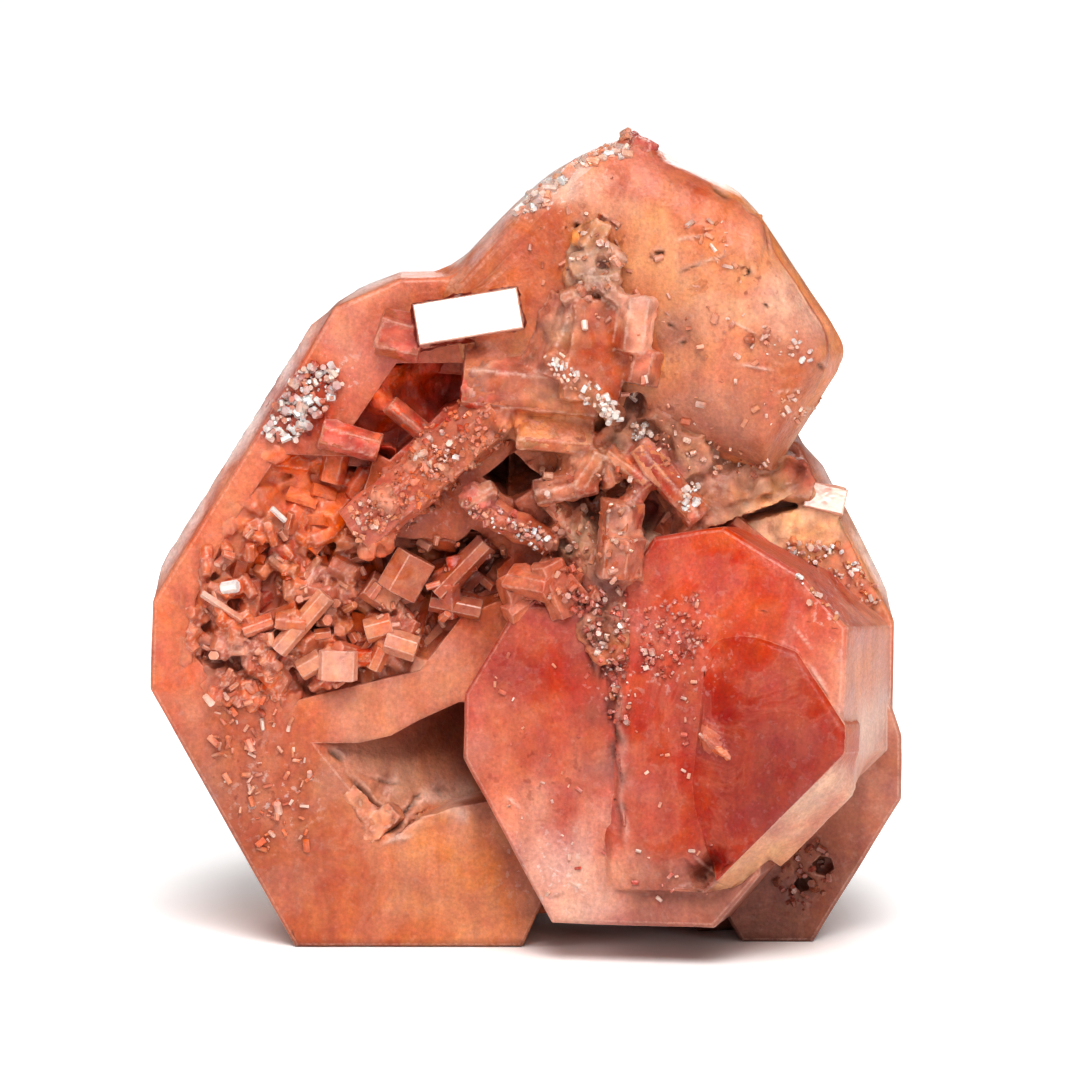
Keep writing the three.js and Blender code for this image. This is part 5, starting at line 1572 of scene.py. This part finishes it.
sparklingDruse = {  # patches of bright little crystals
    "look": {
        **hollowCrystals["look"], "grain": 0.1, "grit": 0.0, "dustAndGlints": 0.0, "roughness": 0.22, "ior": 1.7,
        "sheen": 0.5, "glow": 0.15,
    },
    "seed": 60,
    "usual": {"lean": (0, 90), "sink": 0.2, "wide": (0.6, 1.0)},
    "places": [
        {
            "outline": [
                (-7.4, 17.3), (-6.8, 18.2), (-5.9, 18.2), (-5.6, 17.4), (-6.3, 16.7), (-7.1, 15.8),
                (-8.2, 15.9),
            ],
            "count": 210, "size": (0.1, 0.32),
            "tints": ["snow", "snow", "cream", "brick", "blush", "snow"],
        },
        {
            "outline": [(0.5, 18.7), (1.0, 18.75), (2.1, 17.8), (2.5, 17.3), (2.1, 17.0), (0.9, 17.9)],
            "count": 54, "size": (0.1, 0.24), "tints": ["snow", "cream", "cream", "blush"], "nearest": -6,
            "sink": 0.42, "lean": (40, 90),
        },
        {
            "outline": [(2.1, 17.5), (2.6, 17.5), (2.85, 16.6), (2.3, 16.7)],
            "count": 44, "size": (0.1, 0.24), "tints": ["snow", "cream", "cream"], "nearest": -6,
            "sink": 0.4,
        },
        {
            "outline": [(-5.6, 13.7), (-2.5, 16.9), (-1.2, 17.3), (-0.4, 15.9), (-4.0, 12.6)],
            "count": 260, "size": (0.07, 0.24),
            "tints": ["salmon", "mauve", "paleSalmon", "salmon", "terracotta"],
            "sink": 0.5, "nearest": -5, "furthest": -2.4,
        },
        {
            "outline": [(-3.6, 15.6), (-2.6, 16.3), (-2.0, 15.6), (-2.9, 14.9)],
            "count": 34, "size": (0.08, 0.26), "tints": ["snow", "cream", "blush", "pink"], "nearest": -5,
            "furthest": -2.6,
        },
        {
            "outline": [(-5.7, 13.3), (-4.8, 14.2), (-4.0, 13.6), (-4.8, 12.6)],
            "count": 34, "size": (0.07, 0.22), "tints": ["cream", "blush", "peach", "salmon"],
            "nearest": -5, "furthest": -2.4,
        },
        {
            "outline": [(-1.9, 14.3), (0.6, 13.2), (0.8, 12.4), (-1.7, 13.6)],
            "count": 90, "size": (0.08, 0.22), "tints": ["mauve", "rosePink", "snow", "blush"],
            "furthest": -2.4,
        },
        {
            "outline": [(0.4, 15.2), (3.0, 15.4), (3.6, 13.6), (2.4, 11.2), (0.6, 11.2), (0.4, 13.0)],
            "count": 90, "size": (0.08, 0.3), "tints": ["greyTan", "cream", "mauve", "clay", "paleTan"],
            "sink": 0.35,
        },
        {
            "outline": [(3.6, 10.9), (5.2, 11.4), (5.6, 10.0), (4.2, 8.8), (3.4, 9.2)],
            "count": 110, "size": (0.07, 0.2),
            "tints": ["rosePink", "cream", "brick", "blush", "deepRed", "pink"],
        },
        {
            "outline": [(1.0, 11.4), (3.1, 11.6), (3.1, 7.4), (2.5, 7.4), (2.2, 9.5)],
            "count": 170, "size": (0.08, 0.26), "tints": ["dusk", "mauve", "rosePink", "cream", "brick"],
        },
        {
            "outline": [(3.15, 16.5), (3.6, 16.6), (3.75, 16.1), (3.2, 15.9)],
            "count": 26, "size": (0.08, 0.24), "tints": ["snow", "cream", "ashTan"],
        },
        {
            "outline": [(4.5, 15.0), (5.2, 14.6), (5.4, 13.9), (4.7, 13.9)],
            "count": 24, "size": (0.08, 0.24), "tints": ["snow", "cream"],
        },
        {
            "outline": [
                (-0.4, 22.6), (0.5, 24.4), (1.6, 25.1), (3.2, 25.4), (3.2, 24.7), (1.4, 24.2),
                (0.6, 23.2),
            ],
            "count": 90, "size": (0.12, 0.42), "tints": ["cream", "blush", "snow", "peach"], "sink": 0.46,
            "lean": (60, 90),
        },
        {
            "outline": [(1.3, 22.9), (2.8, 22.9), (3.1, 20.4), (1.2, 20.3)],
            "count": 26, "size": (0.1, 0.3), "tints": ["mauve", "ashTan", "cream", "paleTan"],
            "sink": 0.42,
        },
        {
            "outline": [(4.0, 16.4), (7.4, 15.4), (6.8, 14.6), (3.8, 15.2)],
            "count": 50, "size": (0.08, 0.24), "tints": ["cream", "greyTan", "paleTan", "mauve"],
        },
        {
            "outline": [(7.6, 12.8), (9.6, 12.6), (11.0, 10.9), (10.6, 10.3), (8.6, 11.2)],
            "count": 90, "size": (0.08, 0.26), "tints": ["cream", "snow", "orangeTan", "clay"],
        },
        {
            "outline": [(7.6, 3.0), (9.3, 3.3), (9.5, 1.6), (8.4, 0.9), (7.7, 1.6)],
            "count": 46, "size": (0.1, 0.34), "tints": ["umber", "umber", "dusk"], "sink": 0.45,
        },
        {
            "outline": [(4.7, 22.8), (6.2, 22.9), (6.3, 21.3), (4.9, 21.5)],
            "count": 22, "size": (0.08, 0.34), "tints": ["blush", "cream", "paleTan"], "sink": 0.4,
            "lean": (60, 90), "wide": (0.3, 0.7),
        },
        {
            "outline": [(7.1, 19.8), (8.6, 19.4), (8.6, 18.4), (7.2, 18.6)],
            "count": 20, "size": (0.07, 0.24), "tints": ["blush", "cream", "snow"], "sink": 0.4,
        },
        {
            "outline": [(7.0, 17.7), (8.6, 17.6), (8.4, 16.4), (7.2, 16.5)],
            "count": 20, "size": (0.07, 0.26), "tints": ["blush", "cream", "paleTan"], "sink": 0.4,
        },
    ],
}

rearCrystals = {  # crystals on the hidden side
    "seed": 90,
    "usual": {"lean": (30, 90), "sink": 0.25},
    "places": [
        {
            "outline": [
                (-5.9, 16.3), (-4.6, 15.6), (-3.7, 16.1), (-2.6, 14.4), (-3.6, 13.2), (-3.0, 11.5),
                (-4.9, 10.4), (-6.1, 11.9), (-7.3, 12.4), (-6.5, 14.0), (-7.0, 15.3),
            ],
            "count": 170, "size": (0.15, 0.75), "tints": ["clay", "salmon", "paleTan"],
            "look": (0, -1, 0), "level": 3, "chamfer": 0.02,
        },
        {
            "outline": [
                (0.9, 15.9), (2.8, 15.2), (4.4, 15.9), (5.6, 14.0), (4.7, 12.4), (5.9, 10.4), (4.2, 8.6),
                (2.2, 9.6), (0.2, 8.9), (-0.2, 11.2), (1.0, 12.6), (0.1, 14.2),
            ],
            "count": 250, "size": (0.15, 0.9), "tints": ["terracotta", "rust", "clay", "paleTan"],
            "look": (0, -1, 0), "level": 3, "chamfer": 0.02,
        },
        {
            "outline": [(-8.6, 6.4), (-5.6, 6.8), (-5.2, 1.6), (-7.6, 1.6)],
            "count": 70, "size": (0.12, 0.45), "tints": ["paleTan", "salmon", "blush"],
            "look": (0, -1, 0), "level": 3,
        },
    ],
}

ground = groundTree([bodyMesh, middleMesh, crustMesh], [crestPile])
sprayPile, drusePile, rearPile = newPile(), newPile(), newPile()
for pile, small in ((sprayPile, faceSpray), (drusePile, sparklingDruse), (rearPile, rearCrystals)):
    for count, place in enumerate(small["places"]):
        scatter(pile, ground, {**small["usual"], **place}, small["seed"] + count)
print("small crystals placed")

blockStone = stoneMaterial("middleBlocks", middleBlocks["look"])
mirrorStone = stoneMaterial("brightFaces", brightFaces["look"])
crustStone = stoneMaterial("crustCrystals", hollowCrystals["look"])
druseStone = stoneMaterial("sparklingDruse", sparklingDruse["look"])

crustBed = {  # the ground under the crystals of the hollow
    "base": "rust",
    "patches": [(-6.2, 14.4, 1.5, "flame", 9.0), (-6.5, 8.6, 1.2, "clay", 3.0)],
}
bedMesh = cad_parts["hollow_crystal_crust"].data.copy()
bedMesh.materials.clear()
bedTint = paintTints(vertexArray(bedMesh), crustBed)[cornerArray(bedMesh)]
bed = finishPiece("crustBed", bedMesh, crustStone, bedTint, slot="crust_crystals", smooth=20)
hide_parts("hollow_crystal_crust")

finishPiece("middleBlocks", middleMesh, blockStone, middleTint, smooth=40)
finishPiece("hollowCrystals", crustMesh, crustStone, crustTint, slot="crust_crystals", smooth=40)
for name, pile, stone, slot in (
    ("brightFaces", mirrorPile, mirrorStone, "crystal_body"),
    ("crustCrests", crestPile, crustStone, "crust_crystals"),
    ("faceSpray", sprayPile, crustStone, "crust_crystals"),
    ("sparklingDruse", drusePile, druseStone, "crust_crystals"),
    ("rearCrystals", rearPile, crustStone, "crust_crystals"),
):
    mesh, tint = pileMesh(name, pile)
    finishPiece(name, mesh, stone, tint, slot=slot, smooth=20)
print("pieces dressed")
